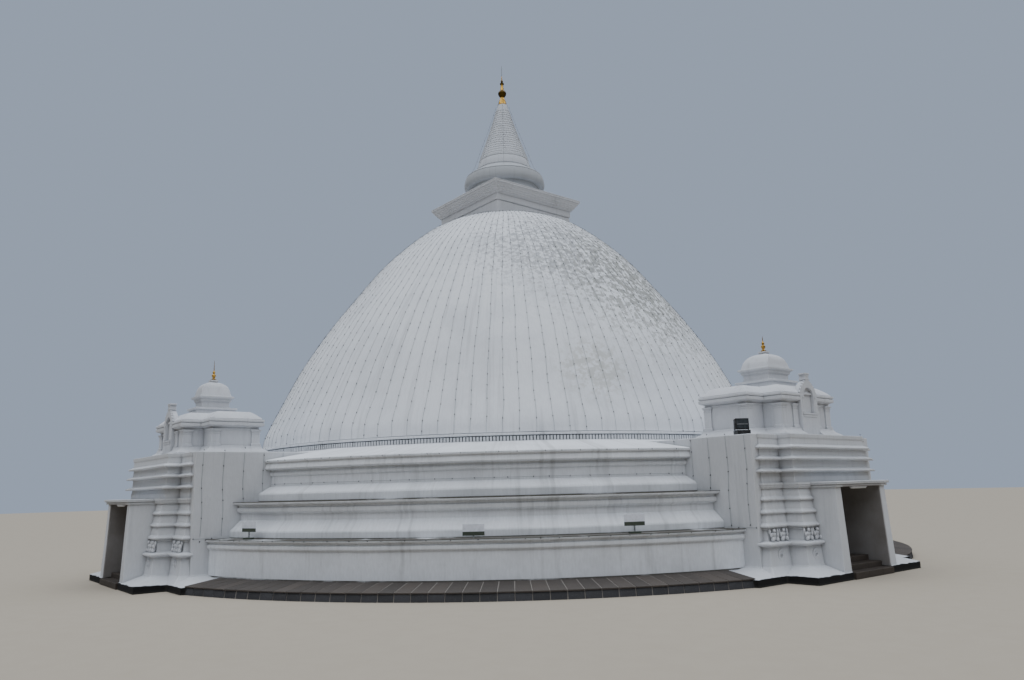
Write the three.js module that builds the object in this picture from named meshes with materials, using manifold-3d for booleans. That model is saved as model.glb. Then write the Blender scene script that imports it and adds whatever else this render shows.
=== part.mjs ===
// A limewashed brick stupa: three ring terraces, a rounded dome, a square chamber, a ringed spire and four
// gatehouses. Millimetres, +Z up. The origin is on the ground on the axis of the dome; the gatehouses face
// +X, +Y, -X and -Y.
import * as THREE from "three";
import { mergeVertices } from "three/addons/utils/BufferGeometryUtils.js";
import Module from "manifold-3d";

const wasm = await Module();
wasm.setup();

// Driving dimensions
const GAP = 0.3;
const GATEHOUSES = 4;
const TERRACE_SEGMENTS = 72;
const DOME_ROWS = 16;
const TURNED_SEGMENTS = 36;
const FINIAL_SEGMENTS = 12;
// Cutting solids run past the part: below the ground, past the gatehouses and over the aprons or the roofs.
const BELOW = -100;
const FAR = 17000;
const OVER_APRON = 1000;
const OVER_ROOF = 9000;

// Round body: radius of each wall and the level of each top
const KERB = { radius: 15150, edgeRadius: 15100, edgeHeight: 240, height: 350 };
const LOWER = { radius: 14080, top: 1380 };
const MIDDLE = { radius: 13220, footRadius: 13520, top: 2390 };
const UPPER = { radius: 12350, footRadius: 12720, corniceTop: 3625, top: 4020 };
const DENTIL_COURSE = { radius: 10450, railRadius: 10490, railBottom: 4180, top: 4250 };
const DOME = { footRadius: 10270, crown: 14700 };

// Crown of the stupa
const CHAMBER = { half: 2110, foot: 13850, shadowLine: 14640, top: 14900 };
const CHAMBER_CORNICE = { lowHalf: 2140, highHalf: 2440, fasciaBottom: 15290, top: 15400 };
const DRUM = { radius: 1600, top: 16100 };
const DRUM_RING = { radius: 1850, rimTop: 16610, top: 17290 };
const SPIRE_RING = { radius: 1245, top: 17640 };
const SPIRE = { footRadius: 1120, topRadius: 225, top: 20380 };
const PINNACLE = { radius: 200, top: 21890 };
const ROD = { radius: 12, top: 22450 };

// Gatehouses: x runs outward along the axis of the gatehouse, y across it
const FLANK = { inner: 10930, outer: 14220, half: 3150, top: 3880 };
const APRON = { front: 500, side: 900, bodyReach: 600, edgeHeight: 200, height: 380 };
const RETURN = { outer: 14250, half: 2850 };
const UPPER_BODY = { outer: 14660, half: 1950 };
const LOWER_BODY = { outer: 14740, half: 1920, batter: 260, top: 2560 };
const PORCH = { outer: 15480, half: 1350, batter: 90, slabBottom: 2410, slabTop: 2560, slabReach: 110 };
const PASSAGE = { inner: 12000, half: 1050 };
const STEPS = { levels: [180, 330, 480], edges: [15650, 15320, 14950] };
const TOWER_X = 12800;
const STOREY = { bottom: 3880, wallBottom: 4120, eaveBottom: 4750, eaveReach: 150, top: 5030 };
const STOREY_ARM = { back: TOWER_X, front: 14030, half: 1270 };
const STOREY_BLOCK = { back: 12000, front: 13430, half: 2080, freeBack: true };
const NICHE = { face: 14180, depth: 200, half: 450, shoulder: 5020 };
const GABLE = { top: 5430, swellHalf: 340, swellTop: 5310, blockHalf: 90, blockTop: 5670 };
const NICHE_ARCH = { radius: 260, sill: 4470, springing: 4970, recess: 100 };
const STOREY_ROOF = { edgeInset: 50, lip: 30, rise: 240, inset: 300 };
const PLINTH = { half: 480, reach: 680, slabInset: 50, slabBottom: 5490, top: 5560 };
const TOWER = { half: 330, reach: 450, wallTop: 5870, neckHalf: 100, plateHalf: 125, roofTop: 6520 };
// The towers of the pair of gatehouses whose storeys stand higher are wider across.
const TOWER_WIDENING = { east: 215, north: 0, west: 215, south: 0 };
const FINIAL = { radius: 85, top: 7110 };
// The storeys of one pair of opposite gatehouses stand higher than those of the other. All that lies above
// their lower walls is shifted, but the tips of the finials are level.
const STOREY_SHIFT = { from: 4300, to: 7000, east: 90, north: -90, west: 90, south: -90 };

const limewash = () => new THREE.MeshStandardMaterial({ color: "#d5d8dc", roughness: 0.9, metalness: 0 });
const darkStone = () => new THREE.MeshStandardMaterial({ color: "#5b5650", roughness: 0.85, metalness: 0 });
const gilding = () => new THREE.MeshStandardMaterial({ color: "#c79a3a", roughness: 0.35, metalness: 1 });
const steel = () => new THREE.MeshStandardMaterial({ color: "#8a8c8e", roughness: 0.45, metalness: 1 });

// A closed three.js geometry as a solid for joins and cuts.
function solidOf(geometry) {
  const plain = geometry.clone();
  plain.deleteAttribute("normal");
  plain.deleteAttribute("uv");
  const merged = mergeVertices(plain, 1e-3);
  const corners = merged.index.array;
  const kept = [];
  for (let i = 0; i < corners.length; i += 3) {
    const [a, b, c] = corners.slice(i, i + 3);
    if (a !== b && b !== c && c !== a) kept.push(a, b, c);
  }
  return new wasm.Manifold(
    new wasm.Mesh({
      numProp: 3,
      vertProperties: new Float32Array(merged.attributes.position.array),
      triVerts: new Uint32Array(kept),
    }),
  );
}

function geometryOf(solid) {
  const mesh = solid.getMesh();
  const geometry = new THREE.BufferGeometry();
  geometry.setAttribute("position", new THREE.BufferAttribute(mesh.vertProperties, 3));
  geometry.setIndex(new THREE.BufferAttribute(mesh.triVerts, 1));
  geometry.computeVertexNormals();
  return geometry;
}

const joined = (solids) => solids.reduce((whole, next) => whole.add(next));

// A body turned about the Z axis; the profile lists radius and height from the bottom up.
function turned(profile, segments) {
  const points = profile.map(([radius, height]) => new THREE.Vector2(radius, height));
  return new THREE.LatheGeometry(points, segments).rotateX(Math.PI / 2);
}

// A block with a rectangular plan and moulded sides. The outline lists how far out the sides stand and the
// height, and a third value where the front stands out by another length.
function moulded(plan, outline) {
  const positions = [];
  for (const [offset, height, frontOffset = offset] of outline) {
    const back = plan.back - (plan.freeBack ? frontOffset : 0);
    const front = plan.front + frontOffset;
    const half = plan.half + offset;
    positions.push(back, -half, height, front, -half, height, front, half, height, back, half, height);
  }
  const faces = [0, 2, 1, 0, 3, 2];
  for (let ring = 0; ring < outline.length - 1; ring++) {
    for (let side = 0; side < 4; side++) {
      const a = 4 * ring + side;
      const b = 4 * ring + ((side + 1) % 4);
      faces.push(a, b, b + 4, a, b + 4, a + 4);
    }
  }
  const last = 4 * (outline.length - 1);
  faces.push(last, last + 1, last + 2, last, last + 2, last + 3);
  const geometry = new THREE.BufferGeometry();
  geometry.setAttribute("position", new THREE.Float32BufferAttribute(positions, 3));
  geometry.setIndex(faces);
  return geometry;
}

function box(x0, x1, y0, y1, z0, z1) {
  const geometry = new THREE.BoxGeometry(x1 - x0, y1 - y0, z1 - z0);
  return geometry.translate((x0 + x1) / 2, (y0 + y1) / 2, (z0 + z1) / 2);
}

// The room that the four gatehouses take out of the terraces, with a joint gap.
function gatehouseRoom() {
  const cut = () => box(FLANK.inner - GAP, FAR, -FLANK.half - GAP, FLANK.half + GAP, BELOW, OVER_ROOF);
  const turns = [...Array(GATEHOUSES).keys()];
  return joined(turns.map((turn) => solidOf(cut().rotateZ((turn * Math.PI) / 2))));
}

function terrace(profile) {
  return geometryOf(solidOf(turned(profile, TERRACE_SEGMENTS)).subtract(gatehouseRoom()));
}

// One quarter of the kerb, between two gatehouse aprons, on the +X +Y side.
function kerbQuarter() {
  const inner = LOWER.radius + GAP;
  const ring = turned(
    [[inner, 0], [KERB.radius, 0], [KERB.edgeRadius, KERB.edgeHeight], [inner, KERB.height], [inner, 0]],
    TERRACE_SEGMENTS,
  );
  const apronEnd = FLANK.half + APRON.side + GAP;
  return geometryOf(solidOf(ring).intersect(solidOf(box(apronEnd, FAR, apronEnd, FAR, BELOW, OVER_APRON))));
}

function lowerTerrace() {
  const r = LOWER.radius;
  return terrace([
    [0, 0], [r, 0], [r, 1090], [r + 60, 1130], [r + 60, 1230], [r + 10, 1245],
    [r + 10, 1300], [r + 120, 1325], [r + 120, LOWER.top], [0, LOWER.top],
  ]);
}

function middleTerrace() {
  const r = MIDDLE.radius;
  return terrace([
    [0, LOWER.top], [MIDDLE.footRadius, LOWER.top], [MIDDLE.footRadius, 1580], [r + 30, 1850], [r, 1850],
    [r, 2080], [r + 120, 2120], [r + 120, 2230], [r + 70, 2240], [r + 70, 2320], [r + 250, 2340],
    [r + 250, MIDDLE.top], [0, MIDDLE.top],
  ]);
}

function upperTerrace() {
  const r = UPPER.radius;
  return terrace([
    [0, MIDDLE.top], [UPPER.footRadius, MIDDLE.top], [UPPER.footRadius, 2610], [r + 60, 2820], [r, 2820],
    [r, 3140], [r + 60, 3160], [r + 60, 3250], [r + 20, 3310], [r + 150, 3340], [r + 180, 3560],
    [r + 250, 3575], [r + 250, UPPER.corniceTop], [DENTIL_COURSE.radius, UPPER.top], [0, UPPER.top],
  ]);
}

function dentilCourse() {
  const { radius, railRadius, railBottom, top } = DENTIL_COURSE;
  return turned(
    [
      [0, UPPER.top], [radius, UPPER.top], [radius, railBottom],
      [railRadius, railBottom], [railRadius, top], [0, top],
    ],
    TERRACE_SEGMENTS,
  );
}

// The dome's side is one smooth curve: upright at the foot, then nearly straight, rounder towards the crown.
function dome() {
  const side = new THREE.SplineCurve([
    new THREE.Vector2(DOME.footRadius, DENTIL_COURSE.top),
    new THREE.Vector2(10180, 4800),
    new THREE.Vector2(9710, 5800),
    new THREE.Vector2(8900, 7400),
    new THREE.Vector2(7900, 9000),
    new THREE.Vector2(6730, 10560),
    new THREE.Vector2(5430, 12150),
    new THREE.Vector2(3600, 13720),
    new THREE.Vector2(1900, 14480),
    new THREE.Vector2(0, DOME.crown),
  ]);
  const points = side.getPoints(DOME_ROWS).map((point) => [Math.max(point.x, 0), point.y]);
  const whole = solidOf(turned([[0, DENTIL_COURSE.top], ...points], TERRACE_SEGMENTS));
  const reach = CHAMBER.half + GAP;
  return geometryOf(whole.subtract(solidOf(box(-reach, reach, -reach, reach, CHAMBER.foot - GAP, ROD.top))));
}

function chamber() {
  const half = CHAMBER.half;
  const plan = { back: -half, front: half, half, freeBack: true };
  return moulded(plan, [
    [-30, CHAMBER.foot], [-30, CHAMBER.shadowLine - 30], [-70, CHAMBER.shadowLine - 30],
    [-70, CHAMBER.shadowLine], [0, CHAMBER.shadowLine], [0, CHAMBER.top],
  ]);
}

function chamberCornice() {
  const { lowHalf, highHalf, fasciaBottom, top } = CHAMBER_CORNICE;
  const plan = { back: -lowHalf, front: lowHalf, half: lowHalf, freeBack: true };
  const flare = highHalf - lowHalf;
  return moulded(plan, [
    [0, CHAMBER.top], [40, CHAMBER.top + 90], [flare - 60, fasciaBottom - 40],
    [flare, fasciaBottom], [flare, top],
  ]);
}

function drum() {
  const { radius, top } = DRUM;
  return turned(
    [[0, CHAMBER_CORNICE.top], [radius, CHAMBER_CORNICE.top], [radius, top], [0, top]],
    TURNED_SEGMENTS,
  );
}

// An upright rim on a hollow underside, with a round shoulder above it.
function drumRing() {
  const { radius, rimTop, top } = DRUM_RING;
  const foot = DRUM.top;
  return turned(
    [
      [0, foot], [radius - 200, foot], [radius - 120, foot + 50], [radius - 50, foot + 160],
      [radius, foot + 320], [radius - 10, rimTop - 70], [radius - 50, rimTop], [radius - 85, rimTop + 170],
      [radius - 160, rimTop + 290], [radius - 260, rimTop + 410], [radius - 370, rimTop + 520],
      [radius - 500, rimTop + 620], [SPIRE_RING.radius - 60, top], [0, top],
    ],
    TURNED_SEGMENTS,
  );
}

// The undercut foot of the spire.
function spireRing() {
  const { radius, top } = SPIRE_RING;
  const bottom = DRUM_RING.top;
  return turned(
    [
      [0, bottom], [radius - 110, bottom], [radius, bottom + 80], [radius - 10, bottom + 140],
      [SPIRE.footRadius, top], [0, top],
    ],
    TURNED_SEGMENTS,
  );
}

// The spire is slightly hollow in outline: steeper as it rises.
function spire() {
  const side = new THREE.SplineCurve([
    new THREE.Vector2(SPIRE.footRadius, SPIRE_RING.top),
    new THREE.Vector2(760, 18600),
    new THREE.Vector2(480, 19480),
    new THREE.Vector2(SPIRE.topRadius, SPIRE.top),
  ]);
  const points = side.getPoints(9).map((point) => [point.x, point.y]);
  return turned([[0, SPIRE_RING.top], ...points, [0, SPIRE.top]], TURNED_SEGMENTS);
}

// Bell, bulb, cone, disc and bead, one above the other, and a needle.
function pinnacle() {
  const foot = SPIRE.top;
  const r = PINNACLE.radius;
  return turned(
    [
      [0, foot], [r, foot], [r - 5, foot + 80], [r - 30, foot + 190], [r - 75, foot + 320],
      [r - 105, foot + 400], [r - 105, foot + 430], [r - 45, foot + 500], [r - 5, foot + 610],
      [r - 35, foot + 700], [r - 95, foot + 770], [r - 115, foot + 810], [r - 145, foot + 1030],
      [r - 145, foot + 1070], [r - 105, foot + 1090], [r - 105, foot + 1140], [r - 155, foot + 1170],
      [r - 142, foot + 1240],
      [r - 170, foot + 1310], [12, PINNACLE.top], [0, PINNACLE.top],
    ],
    FINIAL_SEGMENTS,
  );
}

function rod() {
  const height = ROD.top - PINNACLE.top;
  const post = new THREE.CylinderGeometry(ROD.radius, ROD.radius, height, 8);
  return post.rotateX(Math.PI / 2).translate(0, 0, PINNACLE.top + height / 2);
}

// Sloped foot of a wall that ends in a low upright edge.
function apronOutline(side, front = side) {
  const { edgeHeight, height } = APRON;
  return [[side, 0, front], [side, edgeHeight, front], [30, height], [0, height + 40], [0, height + 80]];
}

function passageRoom(inner) {
  return solidOf(box(inner, FAR, -PASSAGE.half, PASSAGE.half, BELOW, PORCH.slabBottom));
}

// The gatehouse's main walls, with the passage cut in from the outer end and the apron round the foot.
function flankWalls() {
  const { inner, outer, half, top } = FLANK;
  const wall = solidOf(box(inner, outer, -half, half, 0, top));
  const apronPlan = { back: inner, front: outer, half };
  const wholeApron = solidOf(moulded(apronPlan, apronOutline(APRON.side, APRON.front)));
  const r = LOWER.radius + GAP;
  const room = turned([[0, BELOW], [r, BELOW], [r, OVER_APRON], [0, OVER_APRON]], TERRACE_SEGMENTS);
  const terraceRoom = solidOf(room);
  const frontHalf = RETURN.half + APRON.front + GAP;
  const frontRoom = solidOf(box(outer, FAR, -frontHalf, frontHalf, BELOW, OVER_APRON));
  const apron = wholeApron.subtract(terraceRoom).subtract(frontRoom);
  return geometryOf(wall.add(apron).subtract(passageRoom(PASSAGE.inner)));
}

// A fillet: a sharp edge with a sloping top, a thin lip and a flat underside.
function fillet(tipHeight, reach) {
  return [[0, tipHeight - 40], [reach, tipHeight - 40], [reach, tipHeight], [0, tipHeight + 70]];
}

// The lower walls lean: they stand out by the batter at the apron's top and are at their plan at the slab.
function leaning(outline) {
  const foot = APRON.height + 80;
  const lean = (height) => (LOWER_BODY.batter * (PORCH.slabBottom - height)) / (PORCH.slabBottom - foot);
  return outline.map(([offset, height]) => [offset + (height < PORCH.slabBottom ? lean(height) : 0), height]);
}

// The moulded front of the gatehouse: fillets, frieze band, shelf and base below, more fillets and a cornice
// above. It steps out from the flank in two plans with the same mouldings, a broad return and the body.
function mouldedFront() {
  const back = FLANK.outer + GAP;
  const battered = (apron) => apron.map(([side, height, front = side]) => [
    side + LOWER_BODY.batter, height, front + LOWER_BODY.batter,
  ]);
  const lowWall = leaning([
    [0, 900], [150, 950], [150, 1010], [0, 1040], [-60, 1045], [-60, 1340], [0, 1345],
    ...fillet(1440, 90), ...fillet(1790, 80), ...fillet(2130, 80),
    [0, PORCH.slabBottom], [60, PORCH.slabBottom + 20], [100, PORCH.slabTop - 50], [100, LOWER_BODY.top],
  ]);
  const highWall = [
    [30, LOWER_BODY.top], [30, 2700], ...fillet(2880, 190), ...fillet(3210, 180), ...fillet(3520, 140),
    [0, 3740], [30, 3780], [30, FLANK.top],
  ];
  const returnReach = FLANK.outer + APRON.front - RETURN.outer - LOWER_BODY.batter;
  const bodyApron = battered(apronOutline(APRON.bodyReach));
  const returnApron = battered(apronOutline(returnReach));
  const blocks = [
    moulded({ back, front: LOWER_BODY.outer, half: LOWER_BODY.half }, [...bodyApron, ...lowWall]),
    moulded({ back, front: RETURN.outer, half: RETURN.half }, [...returnApron, ...lowWall]),
    moulded({ back, front: UPPER_BODY.outer, half: UPPER_BODY.half }, highWall),
    moulded({ back, front: RETURN.outer, half: RETURN.half }, highWall),
  ];
  const { outer } = LOWER_BODY;
  const wallRoom = moulded({ back: outer, front: FAR, half: PORCH.half + GAP }, [
    [2 * PORCH.batter, -PORCH.slabBottom], [0, PORCH.slabBottom],
  ]);
  const slabHalf = PORCH.half + PORCH.slabReach + GAP;
  const slabRoom = box(outer, FAR, -slabHalf, slabHalf, PORCH.slabBottom - GAP, PORCH.slabTop + GAP);
  return geometryOf(
    joined(blocks.map(solidOf))
      .subtract(solidOf(wallRoom))
      .subtract(solidOf(slabRoom))
      .subtract(passageRoom(back - GAP)),
  );
}

// Two side walls that lean in slightly, under a flat roof slab with a thin lip.
function porch() {
  const back = LOWER_BODY.outer + GAP;
  const plan = { back, front: PORCH.outer, half: PORCH.half };
  const block = moulded(plan, [[PORCH.batter, 0], [0, PORCH.slabBottom]]);
  const reach = PORCH.slabReach;
  const slab = moulded(plan, [
    [reach - 50, PORCH.slabBottom], [reach - 50, PORCH.slabBottom + 60],
    [reach, PORCH.slabBottom + 80], [reach, PORCH.slabTop],
  ]);
  return geometryOf(solidOf(block).subtract(passageRoom(back - GAP)).add(solidOf(slab)));
}

// The stone floor of the passage and the steps down to the ground, in one run between the porch walls.
function steps() {
  const half = PASSAGE.half - GAP;
  const side = new THREE.Shape();
  side.moveTo(PASSAGE.inner + GAP, 0);
  side.lineTo(STEPS.edges[0], 0);
  STEPS.levels.forEach((level, i) => {
    side.lineTo(STEPS.edges[i], level);
    side.lineTo(STEPS.edges[i + 1] ?? PASSAGE.inner + GAP, level);
  });
  const run = new THREE.ExtrudeGeometry(side, { depth: 2 * half, bevelEnabled: false });
  return run.rotateX(Math.PI / 2).translate(0, half, 0);
}

// A plan that reaches as far to the front as to the back of the tower's middle.
function towerPlan({ reach, half }, wider) {
  return { back: TOWER_X - reach, front: TOWER_X + reach, half: half + wider, freeBack: true };
}

// An arched opening or gable is drawn across and up, then turned to face outward between two distances.
function upright(shape, from, to) {
  return new THREE.ExtrudeGeometry(shape, { depth: to - from, bevelEnabled: false, curveSegments: 10 })
    .rotateX(Math.PI / 2)
    .rotateZ(Math.PI / 2)
    .translate(from, 0, 0);
}

// The gable in front of the storey: upright sides, swelling slopes and a small block on top.
function gableShape() {
  const { half, shoulder } = NICHE;
  const { top, swellHalf, swellTop, blockHalf, blockTop } = GABLE;
  const shape = new THREE.Shape();
  shape.moveTo(-half, STOREY.bottom + GAP);
  shape.lineTo(half, STOREY.bottom + GAP);
  shape.lineTo(half, shoulder);
  shape.quadraticCurveTo(swellHalf, swellTop, blockHalf, top);
  shape.lineTo(blockHalf, blockTop);
  shape.lineTo(-blockHalf, blockTop);
  shape.lineTo(-blockHalf, top);
  shape.quadraticCurveTo(-swellHalf, swellTop, -half, shoulder);
  shape.closePath();
  return shape;
}

function archShape() {
  const { radius, sill, springing } = NICHE_ARCH;
  const shape = new THREE.Shape();
  shape.moveTo(-radius, sill);
  shape.lineTo(radius, sill);
  shape.lineTo(radius, springing);
  shape.absarc(0, springing, radius, 0, Math.PI, false);
  shape.closePath();
  return shape;
}

// The small upper storey: a broad block with an arm to the front, a ledge below, an eave above and an arched
// niche in the end of the arm.
function upperStorey() {
  const { bottom, wallBottom, eaveBottom, eaveReach, top } = STOREY;
  const outline = [
    [270, bottom + GAP], [270, bottom + 60], [130, wallBottom - 90], [90, wallBottom], [0, wallBottom],
    [0, eaveBottom], [60, eaveBottom + 30], [60, eaveBottom + 120],
    [eaveReach, eaveBottom + 170], [eaveReach, top],
  ];
  const arm = solidOf(moulded(STOREY_ARM, outline));
  const block = solidOf(moulded(STOREY_BLOCK, outline));
  const gable = solidOf(upright(gableShape(), NICHE.face - NICHE.depth, NICHE.face));
  const recess = solidOf(upright(archShape(), NICHE.face - NICHE_ARCH.recess, FAR));
  return geometryOf(arm.add(block).add(gable).subtract(recess));
}

// The storey's roof: curved slopes up to a flat plinth, and a small oblong tower with a cushion-shaped top.
function towerRoof(side) {
  const { edgeInset, lip, rise, inset } = STOREY_ROOF;
  const flat = STOREY.top + lip + rise;
  const overhang = STOREY.eaveReach - edgeInset;
  const slope = (plan) => {
    const rings = [[overhang, STOREY.top], [overhang, STOREY.top + lip]];
    for (const share of [0.33, 0.67, 1]) {
      rings.push([overhang - inset * share, STOREY.top + lip + rise * share * (1.3 - 0.3 * share)]);
    }
    return solidOf(moulded(plan, rings));
  };
  const gableBack = NICHE.face - NICHE.depth - GAP;
  const gableHalf = NICHE.half + GAP;
  const gableRoom = solidOf(box(gableBack, FAR, -gableHalf, gableHalf, 0, OVER_ROOF));
  const wider = TOWER_WIDENING[side];
  const plinth = moulded(towerPlan(PLINTH, wider), [
    [-PLINTH.slabInset, flat - 100], [-PLINTH.slabInset, PLINTH.slabBottom],
    [0, PLINTH.slabBottom], [0, PLINTH.top],
  ]);
  const { wallTop, roofTop, neckHalf, plateHalf } = TOWER;
  // The cushion narrows from an oblong to a square neck, so its front and back draw in more than its sides.
  const drawnTo = (half) => [half - TOWER.half - wider, half - TOWER.reach];
  const [neck, neckFront] = drawnTo(neckHalf);
  const [plate, plateFront] = drawnTo(plateHalf);
  const spread = neck / (neckHalf - TOWER.half);
  const cushion = [[-20, 300, 0], [-60, 400, -40], [-110, 480, -110], [-170, 540, -220]];
  const tower = moulded(towerPlan(TOWER, wider), [
    [0, flat], [0, wallTop - 110], [50, wallTop - 80], [50, wallTop - 10],
    [125, wallTop + 30], [125, wallTop + 80], [50, wallTop + 100, 40], [20, wallTop + 190, 20],
    ...cushion.map(([sides, up, front]) => [sides * spread, wallTop + up, front]),
    [neck, wallTop + 570, neckFront], [neck, roofTop - 60, neckFront],
    [plate, roofTop - 40, plateFront], [plate, roofTop, plateFront],
  ]);
  return geometryOf(
    joined([slope(STOREY_ARM), slope(STOREY_BLOCK), solidOf(plinth)]).subtract(gableRoom).add(solidOf(tower)),
  );
}

function gatehouseFinial() {
  const foot = TOWER.roofTop;
  const r = FINIAL.radius;
  return turned(
    [
      [0, foot], [r, foot], [r, foot + 40], [r - 50, foot + 90], [r - 15, foot + 160], [r - 55, foot + 220],
      [r - 40, foot + 270], [r - 70, foot + 330], [6, FINIAL.top], [0, FINIAL.top],
    ],
    FINIAL_SEGMENTS,
  ).translate(TOWER_X, 0, 0);
}

// Shifts what lies above the lower walls of a storey.
function shifted(geometry, side) {
  const { from, to } = STOREY_SHIFT;
  const points = geometry.attributes.position;
  for (let i = 0; i < points.count; i++) {
    const z = points.getZ(i);
    if (z > from && z < to) points.setZ(i, z + STOREY_SHIFT[side]);
  }
  geometry.computeVertexNormals();
  return geometry;
}

const stupa = new THREE.Group();

function place(parent, name, geometry, material) {
  const mesh = new THREE.Mesh(geometry, material);
  mesh.name = name;
  parent.add(mesh);
}

place(stupa, "lower_terrace", lowerTerrace(), limewash());
place(stupa, "middle_terrace", middleTerrace(), limewash());
place(stupa, "upper_terrace", upperTerrace(), limewash());
place(stupa, "dentil_course", dentilCourse(), limewash());
place(stupa, "dome", dome(), limewash());
place(stupa, "chamber", chamber(), limewash());
place(stupa, "chamber_cornice", chamberCornice(), limewash());
place(stupa, "drum", drum(), limewash());
place(stupa, "drum_ring", drumRing(), limewash());
place(stupa, "spire_ring", spireRing(), limewash());
place(stupa, "spire", spire(), limewash());
place(stupa, "pinnacle", pinnacle(), gilding());
place(stupa, "lightning_rod", rod(), steel());

const SIDES = ["east", "north", "west", "south"];
for (let turn = 0; turn < GATEHOUSES; turn++) {
  const side = SIDES[turn];
  const quarter = new THREE.Group();
  quarter.rotation.z = (turn * Math.PI) / 2;
  place(quarter, `kerb_${side}`, kerbQuarter(), darkStone());
  place(quarter, `gate_walls_${side}`, flankWalls(), limewash());
  place(quarter, `gate_front_${side}`, mouldedFront(), limewash());
  place(quarter, `gate_porch_${side}`, porch(), limewash());
  place(quarter, `gate_steps_${side}`, steps(), darkStone());
  place(quarter, `gate_storey_${side}`, shifted(upperStorey(), side), limewash());
  place(quarter, `gate_roof_${side}`, shifted(towerRoof(side), side), limewash());
  place(quarter, `gate_finial_${side}`, shifted(gatehouseFinial(), side), gilding());
  stupa.add(quarter);
}

export default stupa;
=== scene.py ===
"""A limewashed brick stupa: ring terraces, a dome hung with lamp strings, a ringed spire and four gatehouses.

Lengths are in metres, +Z is up and the origin is on the ground on the axis of the dome. A gatehouse is drawn
facing +X, with x outward and y across, and is then turned to its side.
"""
import logging
import math
from collections.abc import Iterable, Sequence
from dataclasses import dataclass, field
from enum import Enum

import bmesh
import bpy
from mathutils import Matrix, Vector, noise


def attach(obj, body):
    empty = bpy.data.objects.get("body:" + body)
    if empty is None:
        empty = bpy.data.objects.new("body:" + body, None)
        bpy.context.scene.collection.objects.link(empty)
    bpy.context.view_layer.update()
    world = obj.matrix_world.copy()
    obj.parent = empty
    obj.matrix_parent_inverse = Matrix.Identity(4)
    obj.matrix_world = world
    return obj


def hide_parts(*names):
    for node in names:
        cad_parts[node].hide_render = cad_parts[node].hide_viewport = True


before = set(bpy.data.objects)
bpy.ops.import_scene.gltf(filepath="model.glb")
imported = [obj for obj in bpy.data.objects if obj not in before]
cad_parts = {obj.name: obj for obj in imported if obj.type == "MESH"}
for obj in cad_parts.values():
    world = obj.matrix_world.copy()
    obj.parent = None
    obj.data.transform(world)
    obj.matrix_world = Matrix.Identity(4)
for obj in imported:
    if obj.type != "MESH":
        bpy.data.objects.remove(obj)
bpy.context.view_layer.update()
BODY = "root"
NOISE_SEED = 7
LOG = logging.getLogger("stupa")

# Levels and half widths that more than one piece keeps to.
KERB_TOP = 0.35
LOWER_LEDGE = 1.38
MIDDLE_LEDGE = 2.39
DOME_FOOT = 4.25
FLANK_TOP = 3.88
FLANK_HALF = 3.15
PASSAGE_TOP = 2.41
PASSAGE_HALF = 1.05

Point = tuple[float, float, float]
Flat = tuple[float, float]
Outline = list[Flat]
Tree = bpy.types.NodeTree
Node = bpy.types.Node
Socket = bpy.types.NodeSocket
Sockets = bpy.types.bpy_prop_collection


class Side(Enum):
    """The side that a gatehouse faces, as quarter turns from +X."""

    EAST = 0
    NORTH = 1
    WEST = 2
    SOUTH = 3

    @property
    def word(self) -> str:
        """The side's name as the nodes of the frame spell it."""
        return self.name.lower()

    @property
    def turn(self) -> float:
        """The turn about the dome's axis, in radians."""
        return self.value * math.pi / 2


class Slot(Enum):
    """Material slots."""

    LIMEWASH = "limewash"
    STONE = "dark_stone"
    GILDING = "gilding"
    STEEL = "steel"


def linear(colour: str) -> tuple[float, float, float, float]:
    """Turns an sRGB hex colour to linear light.

    Args:
        colour: The colour as "#rrggbb".

    Returns:
        Red, green, blue and an alpha of 1, all linear.
    """
    parts = [int(colour[i:i + 2], 16) / 255 for i in (1, 3, 5)]
    red, green, blue = (c / 12.92 if c <= 0.04045 else ((c + 0.055) / 1.055) ** 2.4 for c in parts)
    return red, green, blue, 1.0


def feed(tree: Tree, node: Node, into: dict) -> None:
    """Links or sets the inputs of a node.

    Args:
        tree: The node's tree.
        node: The node.
        into: For an input's name or number, the node or socket that feeds it or the value to set on it. A
            node feeds it from the first of its outputs that is in use.
    """
    for name, value in into.items():
        source = next(o for o in value.outputs if o.enabled) if isinstance(value, Node) else value
        if isinstance(source, Socket):
            tree.links.new(source, node.inputs[name])
        else:
            node.inputs[name].default_value = source


def put(tree: Tree, kind: str, into: dict | None = None, **settings: object) -> Node:
    """Adds one node to a shader or geometry tree.

    Args:
        tree: The tree that gets the node.
        kind: The node's class name.
        into: What its inputs get, as feed takes it.
        settings: Properties to set on the node before its inputs.

    Returns:
        The new node.
    """
    node = tree.nodes.new(kind)
    for name, value in settings.items():
        setattr(node, name, value)
    feed(tree, node, into or {})
    return node


def laid(tree: Tree, ground: str, layers: Iterable[tuple[Node, str]]) -> Node:
    """Lays colours one over another.

    Args:
        tree: The material's tree.
        ground: The lowest colour.
        layers: Each further colour, with the node that gives its share, from the lowest up.

    Returns:
        The node that gives the colour of them all.
    """
    colour = linear(ground)
    for share, over in layers:
        colour = put(tree, "ShaderNodeMix", {0: share, 6: colour, 7: linear(over)}, data_type="RGBA")
    return colour


@dataclass(frozen=True)
class Finish:
    """A finish: a name and a look that subclasses draw."""

    name: str

    def material(self) -> bpy.types.Material:
        """Returns the material of this name, drawn once.

        Returns:
            The material.
        """
        found = bpy.data.materials.get(self.name)
        if found:
            return found
        made = bpy.data.materials.new(self.name)
        made.use_nodes = True
        tree = made.node_tree
        tree.nodes.clear()
        shader = put(tree, "ShaderNodeBsdfPrincipled")
        put(tree, "ShaderNodeOutputMaterial", {"Surface": shader})
        feed(tree, shader, self.look(tree, put(tree, "ShaderNodeTexCoord").outputs["Object"]))
        return made

    def look(self, tree: Tree, place: Socket) -> dict[str, object]:
        """Draws the look over Object coordinates and returns what the shader gets."""
        raise NotImplementedError


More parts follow.
